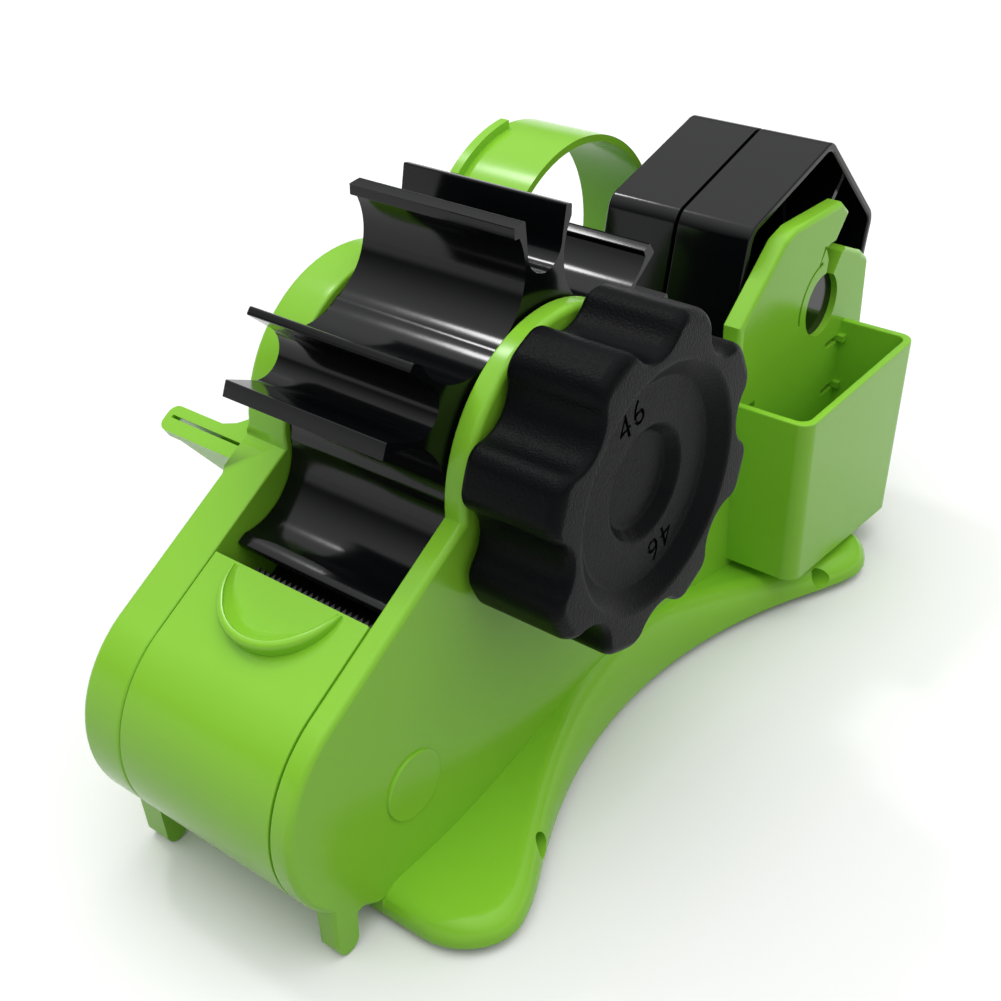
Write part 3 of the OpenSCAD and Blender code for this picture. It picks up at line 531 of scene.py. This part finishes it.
@dataclass
class Housing:
    """Walls, ring and bin in lime plastic; sizes in millimetres from the drum axis.

    Attributes:
        wall_in: distance of each wall's inner face from the middle.
        right_out: the right wall's outer face.
        disc_face: the face of the raised disc on it.
        left_out: the left wall's outer face.
        wall_round: round of the walls' outer edges.
        inner_round: round of the right wall's inner edges.
        plate_round: round of the left inner plate's edges.
        disc_round: round of the disc's edge.
        bin_rim: height of the bin's rim.
        rim_round: round of that rim.
        rim_near: distance from that height within which an edge belongs to the rim.
        rim_weld: distance under which the bin's points become one; it takes up a thin strip at the rim.
        back_share: least share of a normal that points at the wall, for the faces of the bin's back.
        spool: the spool axis, as (Y, Z).
        keyhole_r: radius around the spool axis that holds the keyhole and its slit.
        bush_r: radius around the drum axis that holds the bush's seat.
        foot_top: height below which the feet's own rounds begin.
        behind_bin: the wall's area behind the bin, as ranges of Y and Z.
        screws: places of the walls' screw holes, as (Y, Z).
        tab: middle of the tab's foot on the left wall, as (Y, Z).
        sharp_r: radius around those places that keeps its edges.
        slope_from: Y at which the left wall's front edge starts to be round.
        slope_min: least length of that edge.
    """

    wall_in: float = 19.7
    right_out: float = 24.4
    disc_face: float = 25.0
    left_out: float = -30.4
    wall_round: float = 1.4
    inner_round: float = 0.5
    plate_round: float = 0.6
    disc_round: float = 0.35
    bin_rim: float = -19.6
    rim_round: float = 0.4
    rim_near: float = 0.1
    rim_weld: float = 0.03
    back_share: float = 0.99
    spool: tuple[float, float] = (105.0, -10.8)
    keyhole_r: float = 17.5
    bush_r: float = 10.0
    foot_top: float = -68.5
    behind_bin: tuple[tuple[float, float], ...] = ((60.0, 121.0), (-50.0, -19.0))
    screws: tuple[tuple[float, float], ...] = (
        (-62.0, -50.0),
        (-6.0, -58.0),
        (52.0, -58.0),
        (119.0, -30.0),
        (81.6, -35.8),
        (67.6, -32.0),
        (95.6, -32.0),
    )
    tab: tuple[float, float] = (-32.3, -2.3)
    sharp_r: float = 5.0
    slope_from: float = -37.0
    slope_min: float = 30.0

    def outline(self, x: float) -> Callable[[EdgeSpot], bool]:
        """Picks a wall's outer outline, without its holes and the tab's foot.

        Args:
            x: the plane in which the outline lies.

        Returns:
            A test that says whether an edge belongs to it.
        """

        def wanted(spot: EdgeSpot) -> bool:
            if not spot.on_x(x) or spot.mid.z < self.foot_top:
                return False
            if spot.reach() < self.bush_r or spot.reach(*self.spool) < self.keyhole_r:
                return False
            if x == self.left_out and spot.reach(*self.tab) < self.sharp_r:
                return False
            if any(spot.reach(*at) < self.sharp_r for at in self.screws):
                return False
            upright = all(abs(normal.x) < ACROSS or abs(normal.x) > ALONG for normal in spot.normals)
            (low_y, high_y), (low_z, high_z) = self.behind_bin
            return upright and not (low_y < spot.mid.y < high_y and low_z < spot.mid.z < high_z)

        return wanted

    def part_slope(self, shell: bpy.types.Object) -> None:
        """Splits the left wall's long front edge below the tab, so that its round starts there.

        Args:
            shell: the left wall.
        """
        with edit(shell) as mesh:
            for edge in list(mesh.edges):
                low, high = sorted(edge.verts, key=lambda vert: vert.co.y)
                start, end = from_axis(high), from_axis(low)
                on_wall = all(abs(point.x - self.left_out) < NEAR_MM for point in (start, end))
                crosses = start.y > self.slope_from > end.y and (start - end).length > self.slope_min
                if on_wall and crosses and edge.is_convex:
                    bmesh.utils.edge_split(edge, high, (start.y - self.slope_from) / (start.y - end.y))
            bmesh.update_edit_mesh(shell.data)

    def walls(self, palette: Palette) -> None:
        """Builds both side walls and the left one's inner plate.

        Args:
            palette: the finishes.
        """
        right = (
            Rounding(self.wall_round, 5, self.outline(self.right_out)),
            Rounding(self.disc_round, 3, lambda spot: spot.on_x(self.disc_face)),
            Rounding(self.inner_round, 3, self.outline(self.wall_in)),
        )
        MouldedPiece("right_side_shell", Body.FRAME, Slot.GREEN, right).build(palette)
        left = MouldedPiece("left_side_shell", Body.FRAME, Slot.GREEN)
        shell = left.copy()
        self.part_slope(shell)
        Rounding(self.wall_round, 5, self.outline(self.left_out)).cut(shell)
        left.finish(shell, palette)
        plate = (Rounding(self.plate_round, 3, self.outline(-self.wall_in)),)
        MouldedPiece("left_inner_plate", Body.FRAME, Slot.GREEN, plate).build(palette)

    def on_rim(self, spot: EdgeSpot) -> bool:
        """Says whether an edge lies in the bin's rim."""
        return all(abs(end.z - self.bin_rim) < self.rim_near for end in spot.ends)

    def tray(self, palette: Palette) -> None:
        """Builds the bin; its faces at the wall become triangles first, so that its round rim keeps it open.

        Args:
            palette: the finishes.
        """
        piece = MouldedPiece("accessory_bin", Body.FRAME, Slot.GREEN, weld_mm=self.rim_weld)
        tray = piece.copy()
        with edit(tray, "FACE") as mesh:
            backs = (face for face in mesh.faces if face.normal.x < -self.back_share)
            select(tray, [face for face in backs if abs(from_axis(face.verts[0]).x - self.right_out) < NEAR_MM])
            bpy.ops.mesh.quads_convert_to_tris()
        Rounding(self.rim_round, 3, self.on_rim).cut(tray)
        piece.finish(tray, palette)

    def build(self, palette: Palette) -> None:
        """Builds the green mouldings that don't move.

        Args:
            palette: the finishes.
        """
        self.walls(palette)
        self.tray(palette)
        MouldedPiece("side_roll_ring", Body.FRAME, Slot.GREEN).build(palette)


@dataclass
class Cover:
    """Front cover with its half-moon finger pull; sizes in millimetres.

    Attributes:
        half: half the cover's width.
        seam_round: round of its side edges.
        top: the upper edge's place, as (Y, Z).
        slant_deg: the slope's angle.
        pull_r: radius of the pull's outer side.
        pull_h: its height in the middle.
        tip_h: its height at its ends.
        swell: power by which it rises from its ends.
        hollow: how far its inner side sags, as a share of its height.
        crest_r: radius of its rounded crest.
        crest_share: the crest's radius as a share of a low ridge's height.
        crest_deg: angle that the crest turns through.
        floor_r: radius of the flat floor's edge.
        floor_up: how far up the slope that edge's centre lies.
        inset: width of the flat beside that edge, and depth of the ridge's foot in the slope.
        tip_deg: angle left free at each end.
        over: height above the slope that belongs to the pull.
    """

    half: float = 19.4
    seam_round: float = 0.3
    top: tuple[float, float] = (-49.62, -12.03)
    slant_deg: float = 29.6
    pull_r: float = 13.6
    pull_h: float = 3.3
    tip_h: float = 0.12
    swell: float = 0.55
    hollow: float = 0.25
    crest_r: float = 1.15
    crest_share: float = 0.45
    crest_deg: float = 115.0
    floor_r: float = 12.72
    floor_up: float = 3.72
    inset: float = 0.3
    tip_deg: float = 2.2
    over: float = 0.1

    def place(self, across: float, along: float, height: float) -> Vector:
        """Turns a place on the slope into one from the drum axis.

        Args:
            across: distance from the middle.
            along: distance up the slope from its upper edge.
            height: distance above it.

        Returns:
            The place.
        """
        slant = math.radians(self.slant_deg)
        y = self.top[0] + along * math.cos(slant) - height * math.sin(slant)
        z = self.top[1] + along * math.sin(slant) + height * math.cos(slant)
        return Vector((across, y, z))

    def height(self, point: Vector) -> float:
        """Returns how far a point from the drum axis lies above the slope."""
        slant = math.radians(self.slant_deg)
        return (point.z - self.top[1]) * math.cos(slant) - (point.y - self.top[0]) * math.sin(slant)

    def section(self, turn: float) -> list[Vector]:
        """Draws the ridge's section at one direction from the pull's centre.

        Args:
            turn: the direction in radians, from across to along the slope.

        Returns:
            The section's points, from the floor's edge over the crest to the outer foot.
        """
        way = (math.cos(turn), math.sin(turn))
        lift = self.floor_up * way[1]
        inner = lift + math.sqrt(lift * lift + self.floor_r**2 - self.floor_up**2)
        rise = max(0.0, -way[1])
        top = self.tip_h + (self.pull_h - self.tip_h) * rise**self.swell
        crest = min(self.crest_r, self.crest_share * top)
        profile = [(inner, -self.inset), (inner, 0.0)]
        base, peak = inner + self.inset, self.pull_r - crest
        steps = 6
        for k in range(1, steps):
            share = k / steps
            sag = (1 - self.hollow) * share + self.hollow * share * share
            profile.append((base + (peak - base) * share, top * sag))
        for k in range(steps + 1):
            angle = math.radians(self.crest_deg - self.crest_deg * k / steps)
            profile.append((peak + crest * math.cos(angle), top - crest + crest * math.sin(angle)))
        profile += [(self.pull_r, 0.0), (self.pull_r, -self.inset)]
        return [self.place(way[0] * r, way[1] * r, h) for r, h in profile]

    def ridge(self) -> bpy.types.Object:
        """Lofts the pull's ridge, which rises from both ends to the middle.

        Returns:
            The ridge.
        """
        steps = 48
        sweep = 180 - 2 * self.tip_deg
        turns = [math.radians(180 + self.tip_deg + sweep * k / steps) for k in range(steps + 1)]
        return loft("finger_pull", [self.section(turn) for turn in turns])

    def build(self, palette: Palette) -> None:
        """Builds the cover, whose plain pull gives way to the rounded one.

        Args:
            palette: the finishes.
        """
        seams = Rounding(self.seam_round, 2, lambda spot: spot.on_x(self.half) or spot.on_x(-self.half))
        piece = MouldedPiece("front_cover", Body.COVER, Slot.GREEN, (seams,))
        cover = piece.copy()
        with edit(cover, "FACE") as mesh:
            above = {vert for vert in mesh.verts if self.height(from_axis(vert)) > self.over}
            select(cover, [face for face in mesh.faces if any(vert in above for vert in face.verts)])
            bpy.ops.mesh.delete(type="FACE")
        ridge = self.ridge()
        pick(cover)
        ridge.select_set(True)
        bpy.ops.object.join()
        piece.finish(cover, palette)


@dataclass
class Knob:
    """Fluted knob with a dished face and its setting on the dial; sizes in millimetres.

    Attributes:
        lobes: how many lobes it has.
        turn_deg: direction of a lobe.
        outer_r: radius over the lobes.
        flute_r: radius of a flute.
        flute_floor: distance of a flute's floor from the axis.
        flute_share: a flute's share of the edges' rounds.
        shoulder_r: radius of a lobe's shoulders.
        back: where its back is along X.
        face: where its face is.
        front_round: round of the front edge.
        back_round: round of the back edge.
        hub_r: radius of the hub in its hollow back.
        bore_r: radius of the hub's bore.
        bore_x: where the bore ends.
        hollow_r: radius of the hollow back.
        hollow_x: floor of the hollow back.
        dish: radii at the dish's rim and floor, and the floor's place.
        dish_soft: round of the dish's edges.
        pit: radii at the pit's rim and floor, and the floor's place.
        pit_soft: round of the pit's edges.
        well: radius, floor and depth of the seat for the cap.
        digits: the setting.
        digit_h: height of its digits.
        type_size: type size of a digit of unit height.
        digit_gap: spacing of the digits.
        digit_at: distance of the digits' middle from the axis.
        digit_turn_deg: direction of the first setting's top.
        digit_depth: depth of the engraving.
    """

    lobes: int = 8
    turn_deg: float = 25.0
    outer_r: float = 33.0
    flute_r: float = 7.4
    flute_floor: float = 27.2
    flute_share: float = 0.45
    shoulder_r: float = 4.6
    back: float = 26.0
    face: float = 46.4
    front_round: float = 2.6
    back_round: float = 1.2
    hub_r: float = 8.5
    bore_r: float = 4.0
    bore_x: float = 35.1
    hollow_r: float = 23.5
    hollow_x: float = 37.0
    dish: tuple[float, float, float] = (24.2, 20.4, 43.2)
    dish_soft: float = 0.7
    pit: tuple[float, float, float] = (11.5, 9.5, 40.8)
    pit_soft: float = 0.6
    well: tuple[float, float, float] = (9.2, 39.6, 1.2)
    digits: str = "46"
    digit_h: float = 5.4
    type_size: float = 1.4
    digit_gap: float = 1.15
    digit_at: float = 16.1
    digit_turn_deg: float = 108.4
    digit_depth: float = 0.5

    def half_pitch(self) -> list[tuple[float, float, float, float, float]]:
        """Draws half a lobe, from a flute's floor to the lobe's top.

        Returns:
            For each point the arc's centre, its signed radius, its direction and its share of an inset.
        """
        flute_at = self.flute_floor + self.flute_r
        shoulder_at = self.outer_r - self.shoulder_r
        reach = self.flute_r + self.shoulder_r
        alpha = math.acos((flute_at**2 + shoulder_at**2 - reach**2) / (2 * flute_at * shoulder_at))
        sy, sz = shoulder_at * math.cos(alpha), shoulder_at * math.sin(alpha)
        lean = math.atan2(sz, sy - flute_at)
        flute_steps, shoulder_steps, top_steps = 8, 10, 3
        arcs = []
        for k in range(flute_steps):
            turn = lean + (math.pi - lean) * (1 - k / flute_steps) + math.pi
            arcs.append((flute_at, 0.0, -self.flute_r, turn, self.flute_share))
        for k in range(shoulder_steps):
            turn = lean - math.pi + (alpha - lean + math.pi) * k / shoulder_steps
            share = self.flute_share + (1 - self.flute_share) * k / shoulder_steps
            arcs.append((sy, sz, self.shoulder_r, turn, share))
        for k in range(top_steps):
            arcs.append((0.0, 0.0, self.outer_r, alpha + (math.pi / self.lobes - alpha) * k / top_steps, 1.0))
        return arcs

    def outline(self, x: float, inset: float) -> list[Vector]:
        """Draws the whole outline.

        Args:
            x: its place along the axis.
            inset: how far it lies inside the full outline.

        Returns:
            The outline's points.
        """
        half = [
            (y + (radius - inset * share) * math.cos(turn), z + (radius - inset * share) * math.sin(turn))
            for y, z, radius, turn, share in self.half_pitch()
        ]
        pitch = [(y, -z) for y, z in reversed(half[1:])] + half
        points = []
        for lobe in range(self.lobes):
            turn = math.radians(self.turn_deg) + (lobe + 0.5) * math.tau / self.lobes
            c, s = math.cos(turn), math.sin(turn)
            points += [Vector((x, y * c - z * s, y * s + z * c)) for y, z in pitch]
        return points

    def round_ring(self, x: float, radius: float) -> list[Vector]:
        """Draws a round ring whose points face the outline's."""
        return [Vector((x, *(Vector((p.y, p.z)).normalized() * radius))) for p in self.outline(x, 0.0)]

    def edge_rings(self, x: float, size: float, steps: int) -> list[list[Vector]]:
        """Draws the rings of a rounded edge.

        Args:
            x: where the edge's face is.
            size: size of the round, negative where the knob lies on the far side of x.
            steps: how many rings it has.

        Returns:
            The rings, from the side to the face.
        """
        turns = [math.pi / 2 * k / (steps - 1) for k in range(steps)]
        return [self.outline(x - size * (1 - math.sin(t)), abs(size) * (1 - math.cos(t))) for t in turns]

    def step_rings(self, top: float, rim: float, foot: float, floor: float, soft: float) -> list[list[Vector]]:
        """Draws the rings of a sunk round floor, with three for each of its soft edges.

        Args:
            top: where the face around it is.
            rim: its radius there.
            foot: its radius at the floor.
            floor: where the floor is.
            soft: size of the edges' rounds.

        Returns:
            The rings, from the face inwards.
        """
        slope = Vector((rim - foot, top - floor)).normalized()
        # The shares place the rings between an edge's ends so that they draw its round.
        rows = (
            (top, rim + soft),
            (top - soft * slope.y * 0.25, rim + soft * 0.25),
            (top - soft * slope.y, rim - soft * slope.x),
            (floor + soft * slope.y * 0.8, foot + soft * slope.x * 0.8),
            (floor + soft * slope.y * 0.2, foot - soft * 0.25),
            (floor, foot - soft),
        )
        return [self.round_ring(x, radius) for x, radius in rows]

    def rings(self) -> list[list[Vector]]:
        """Lists the knob's rings.

        Returns:
            The rings from the bore's end round the rim to the middle of the dial.
        """
        inside = (
            (self.bore_x, self.bore_r),
            (self.back, self.bore_r),
            (self.back, self.hub_r),
            (self.hollow_x, self.hub_r),
            (self.hollow_x, self.hollow_r),
            (self.back, self.hollow_r),
        )
        rings = [self.round_ring(x, radius) for x, radius in inside]
        rings += reversed(self.edge_rings(self.back, -self.back_round, steps=5))
        rings += self.edge_rings(self.face, self.front_round, steps=8)
        rings += self.step_rings(self.face, *self.dish, self.dish_soft)
        rings += self.step_rings(self.dish[2], *self.pit, self.pit_soft)
        radius, floor, depth = self.well
        return rings + [self.round_ring(floor + depth, radius), self.round_ring(floor, radius)]

    def engrave(self, obj: bpy.types.Object, turn: float) -> None:
        """Cuts the setting into the dial.

        Args:
            obj: the knob.
            turn: direction of the digits' tops, in radians.
        """
        bpy.ops.object.select_all(action="DESELECT")
        bpy.ops.object.text_add()
        text = bpy.context.active_object
        text.data.body = self.digits
        text.data.size = self.digit_h * self.type_size * MM
        text.data.space_character = self.digit_gap
        text.data.align_x, text.data.align_y = "CENTER", "CENTER"
        text.data.extrude = self.digit_depth * MM
        bpy.ops.object.convert(target="MESH")
        text = bpy.context.active_object
        ahead = Vector((1, 0, 0))
        up = Vector((0, math.cos(turn), math.sin(turn)))
        at = DRUM_AXIS + (up * self.digit_at + ahead * self.dish[2]) * MM
        turned = Matrix((up.cross(ahead), up, ahead)).transposed().to_4x4()
        text.data.transform(Matrix.Translation(at) @ turned)
        apply_modifier(obj, "BOOLEAN", object=text, operation="DIFFERENCE", solver="EXACT")
        bpy.data.objects.remove(text)

    def build(self, palette: Palette) -> None:
        """Builds the knob, with its setting on both sides of the dial.

        Args:
            palette: the finishes.
        """
        obj = loft("knob_moulding", self.rings())
        for half_turn in (0.0, math.pi):
            self.engrave(obj, math.radians(self.digit_turn_deg) + half_turn)
        MouldedPiece("knob", Body.DRUM, Slot.KNOB).finish(obj, palette)


@dataclass
class Works:
    """Drum and spool in black plastic; sizes in millimetres.

    Attributes:
        lip_r: least distance of the lips' edges from the drum axis.
        lip_round: round of the lips' edges.
        lip_deg: least angle of those edges.
        ridge_round: round of the ridges between the scoops.
        ridge_deg: least angle of the ridges.
        spool: the spool axis, as (Y, Z).
        spool_r: least distance of the spool's outer edges from it.
        end_x: least distance of the spool's ends from the middle.
        end_round: round of the edges there.
        seam_x: most distance of the slit's edges from the middle.
        seam_round: round of the edges there.
    """

    lip_r: float = 30.0
    lip_round: float = 0.3
    lip_deg: float = 40.0
    ridge_round: float = 0.5
    ridge_deg: float = 11.0
    spool: tuple[float, float] = (105.0, -10.8)
    spool_r: float = 30.0
    end_x: float = 18.0
    end_round: float = 0.6
    seam_x: float = 1.0
    seam_round: float = 0.25

    def on_spool_rim(self, spot: EdgeSpot) -> bool:
        """Says whether an edge goes round the spool's outside."""
        return spot.reach(*self.spool) > self.spool_r and not spot.along_x()

    def build(self, palette: Palette) -> None:
        """Builds the black mouldings.

        Args:
            palette: the finishes.
        """
        lips = Rounding(
            self.lip_round, 2, lambda spot: spot.along_x() and spot.reach() > self.lip_r, self.lip_deg
        )
        ridges = Rounding(
            self.ridge_round, 3, lambda spot: spot.along_x() and spot.reach() < self.lip_r, self.ridge_deg
        )
        MouldedPiece("drum", Body.DRUM, Slot.BLACK, (lips, ridges)).build(palette)
        rounds = (
            Rounding(self.end_round, 3, lambda spot: self.on_spool_rim(spot) and abs(spot.mid.x) > self.end_x),
            Rounding(self.seam_round, 2, lambda spot: self.on_spool_rim(spot) and abs(spot.mid.x) < self.seam_x),
        )
        for node in ("spool_half_left", "spool_half_right"):
            MouldedPiece(node, Body.SPOOL, Slot.BLACK, rounds).build(palette)


def dress_remaining(palette: Palette) -> None:
    """Gives every CAD node that is still shown its finish.

    Args:
        palette: the finishes.
    """
    for part in frame["record"]["subparts"]:
        obj = frame["nodes"][part["node"]]
        if obj.hide_render:
            continue
        slot = Slot(part["material_slot"])
        obj.data.materials.clear()
        finish = FINISH_OF_NODE.get(part["node"], FINISH_OF[slot])
        obj.data.materials.append(palette.of(finish))
        LOG.info("%s: CAD node in %s", part["node"], finish.name)


@dataclass
class Studio:
    """Floor, soft lights and the camera at the photograph's angle.

    Attributes:
        eye_mm: the camera's place.
        right: its right-hand direction.
        down: its downward direction.
        ahead: its viewing direction.
        lens_mm: its focal length.
        sensor_mm: width of its sensor.
        clip_m: nearest and farthest distance that it shows.
        floor_m: the floor's size.
        floor_colour: the floor's sRGB hex colour to the eye and in gloss.
        floor_bounce: its colour to the light that it throws back.
        floor_roughness: its roughness.
        zenith: brightness of the room above.
        horizon: brightness of the room at eye level.
        right_glow: brightness that a pale wall on the right adds there.
        wall_fade: heights between which the white walls behind the floor fade, as the ray's Z.
        key_power: strength of the small key light.
        key_from: the direction that it comes from.
        key_deg: how wide the key light looks.
    """

    eye_mm: tuple[float, float, float] = (164.9, -217.8, 215.6)
    right: tuple[float, float, float] = (0.7861, 0.6173, -0.032)
    down: tuple[float, float, float] = (0.3162, -0.446, -0.8373)
    ahead: tuple[float, float, float] = (-0.5311, 0.6481, -0.5458)
    lens_mm: float = 51.85
    sensor_mm: float = 36.0
    clip_m: tuple[float, float] = (0.005, 20.0)
    floor_m: float = 8.0
    floor_colour: str = "#F6F6F6"
    floor_bounce: str = "#A0A0A0"
    floor_roughness: float = 0.9
    zenith: float = 2.15
    horizon: float = 0.02
    right_glow: float = 0.3
    wall_fade: tuple[float, float] = (0.12, 0.25)
    key_power: float = 0.36
    key_from: tuple[float, float, float] = (-0.55, 0.06, 0.83)
    key_deg: float = 6.0

    def camera(self) -> None:
        """Places the camera."""
        data = bpy.data.cameras.new("photo_camera")
        data.sensor_width = self.sensor_mm
        data.lens = self.lens_mm
        data.clip_start, data.clip_end = self.clip_m
        obj = new_object("photo_camera", data)
        columns = Matrix((Vector(self.right), -Vector(self.down), -Vector(self.ahead))).transposed()
        obj.matrix_world = Matrix.Translation(Vector(self.eye_mm) * MM) @ columns.to_4x4()
        bpy.context.scene.camera = obj

    @staticmethod
    def seen(tree: bpy.types.NodeTree) -> bpy.types.NodeSocket:
        """Finds out what the eye sees, also in gloss or through glass.

        Args:
            tree: the node tree.

        Returns:
            A socket that is one for it and zero for light on its way.
        """
        path = add_node(tree, "ShaderNodeLightPath").outputs
        links = {0: path["Is Glossy Ray"], 1: path["Is Transmission Ray"]}
        gloss = add_node(tree, "ShaderNodeMath", links, operation="MAXIMUM").outputs[0]
        links = {0: path["Is Camera Ray"], 1: gloss}
        return add_node(tree, "ShaderNodeMath", links, operation="MAXIMUM").outputs[0]

    def floor(self) -> None:
        """Lays the pale floor, which throws less light back than the eye and gloss see in it."""
        bpy.ops.object.select_all(action="DESELECT")
        bpy.ops.mesh.primitive_plane_add(size=self.floor_m, location=(0, 0, 0))
        obj = bpy.context.active_object
        obj.name = "studio_floor"
        # Matt paper: even and pale, with no gloss.
        material = bpy.data.materials.new("matt_paper_sweep")
        material.use_nodes = True
        tree = material.node_tree
        shader = tree.nodes["Principled BSDF"]
        shader.inputs["Roughness"].default_value = self.floor_roughness
        shader.inputs["Specular IOR Level"].default_value = 0.0
        bounce, colour = linear(self.floor_bounce), linear(self.floor_colour)
        mix_colours(tree, self.seen(tree), bounce, colour, shader.inputs["Base Color"])
        obj.data.materials.append(material)

    def world(self) -> None:
        """Lights the room: bright overhead, dim at eye level, a glow from the right and walls that look white."""
        world = bpy.data.worlds.new("studio_room")
        bpy.context.scene.world = world
        world.use_nodes = True
        tree = world.node_tree
        room = tree.nodes["Background"]
        room.inputs["Color"].default_value = linear("#FFFFFF")
        way = add_node(tree, "ShaderNodeTexCoord").outputs["Generated"]
        parts = add_node(tree, "ShaderNodeSeparateXYZ", {"Vector": way}).outputs
        square = add_node(tree, "ShaderNodeMath", {0: parts["Z"], 1: parts["Z"]}, operation="MULTIPLY").outputs[0]
        level = add_node(tree, "ShaderNodeMapRange", {"Value": square}, To_Min=self.horizon, To_Max=self.zenith)
        glow = add_node(tree, "ShaderNodeMapRange", {"Value": parts["X"]}, To_Max=self.right_glow)
        links = {0: level.outputs["Result"], 1: glow.outputs["Result"]}
        light = add_node(tree, "ShaderNodeMath", links, operation="ADD").outputs[0]
        low, high = self.wall_fade
        wall = add_node(tree, "ShaderNodeMapRange", {"Value": parts["Z"]}, From_Min=high, From_Max=low)
        links = {0: wall.outputs["Result"], 1: self.seen(tree), 2: light}
        total = add_node(tree, "ShaderNodeMath", links, operation="MULTIPLY_ADD").outputs[0]
        tree.links.new(total, room.inputs["Strength"])

    def key(self) -> None:
        """Adds the small key light from the upper left, which draws the bright lines on edges."""
        data = bpy.data.lights.new("small_key", "SUN")
        data.energy = self.key_power
        data.angle = math.radians(self.key_deg)
        obj = new_object("small_key", data)
        obj.rotation_euler = Vector(self.key_from).to_track_quat("Z", "Y").to_euler()

    def build(self) -> None:
        """Sets up the whole studio."""
        bpy.context.scene.view_settings.view_transform = "Standard"
        self.floor()
        self.world()
        self.key()
        self.camera()


def main() -> None:
    """Builds the dispenser and its studio in order."""
    logging.basicConfig(level=logging.INFO, format="%(message)s")
    palette = Palette()
    for part in (Housing(), Cover(), Knob(), Works()):
        part.build(palette)
    dress_remaining(palette)
    Studio().build()


if __name__ == "__main__":
    main()
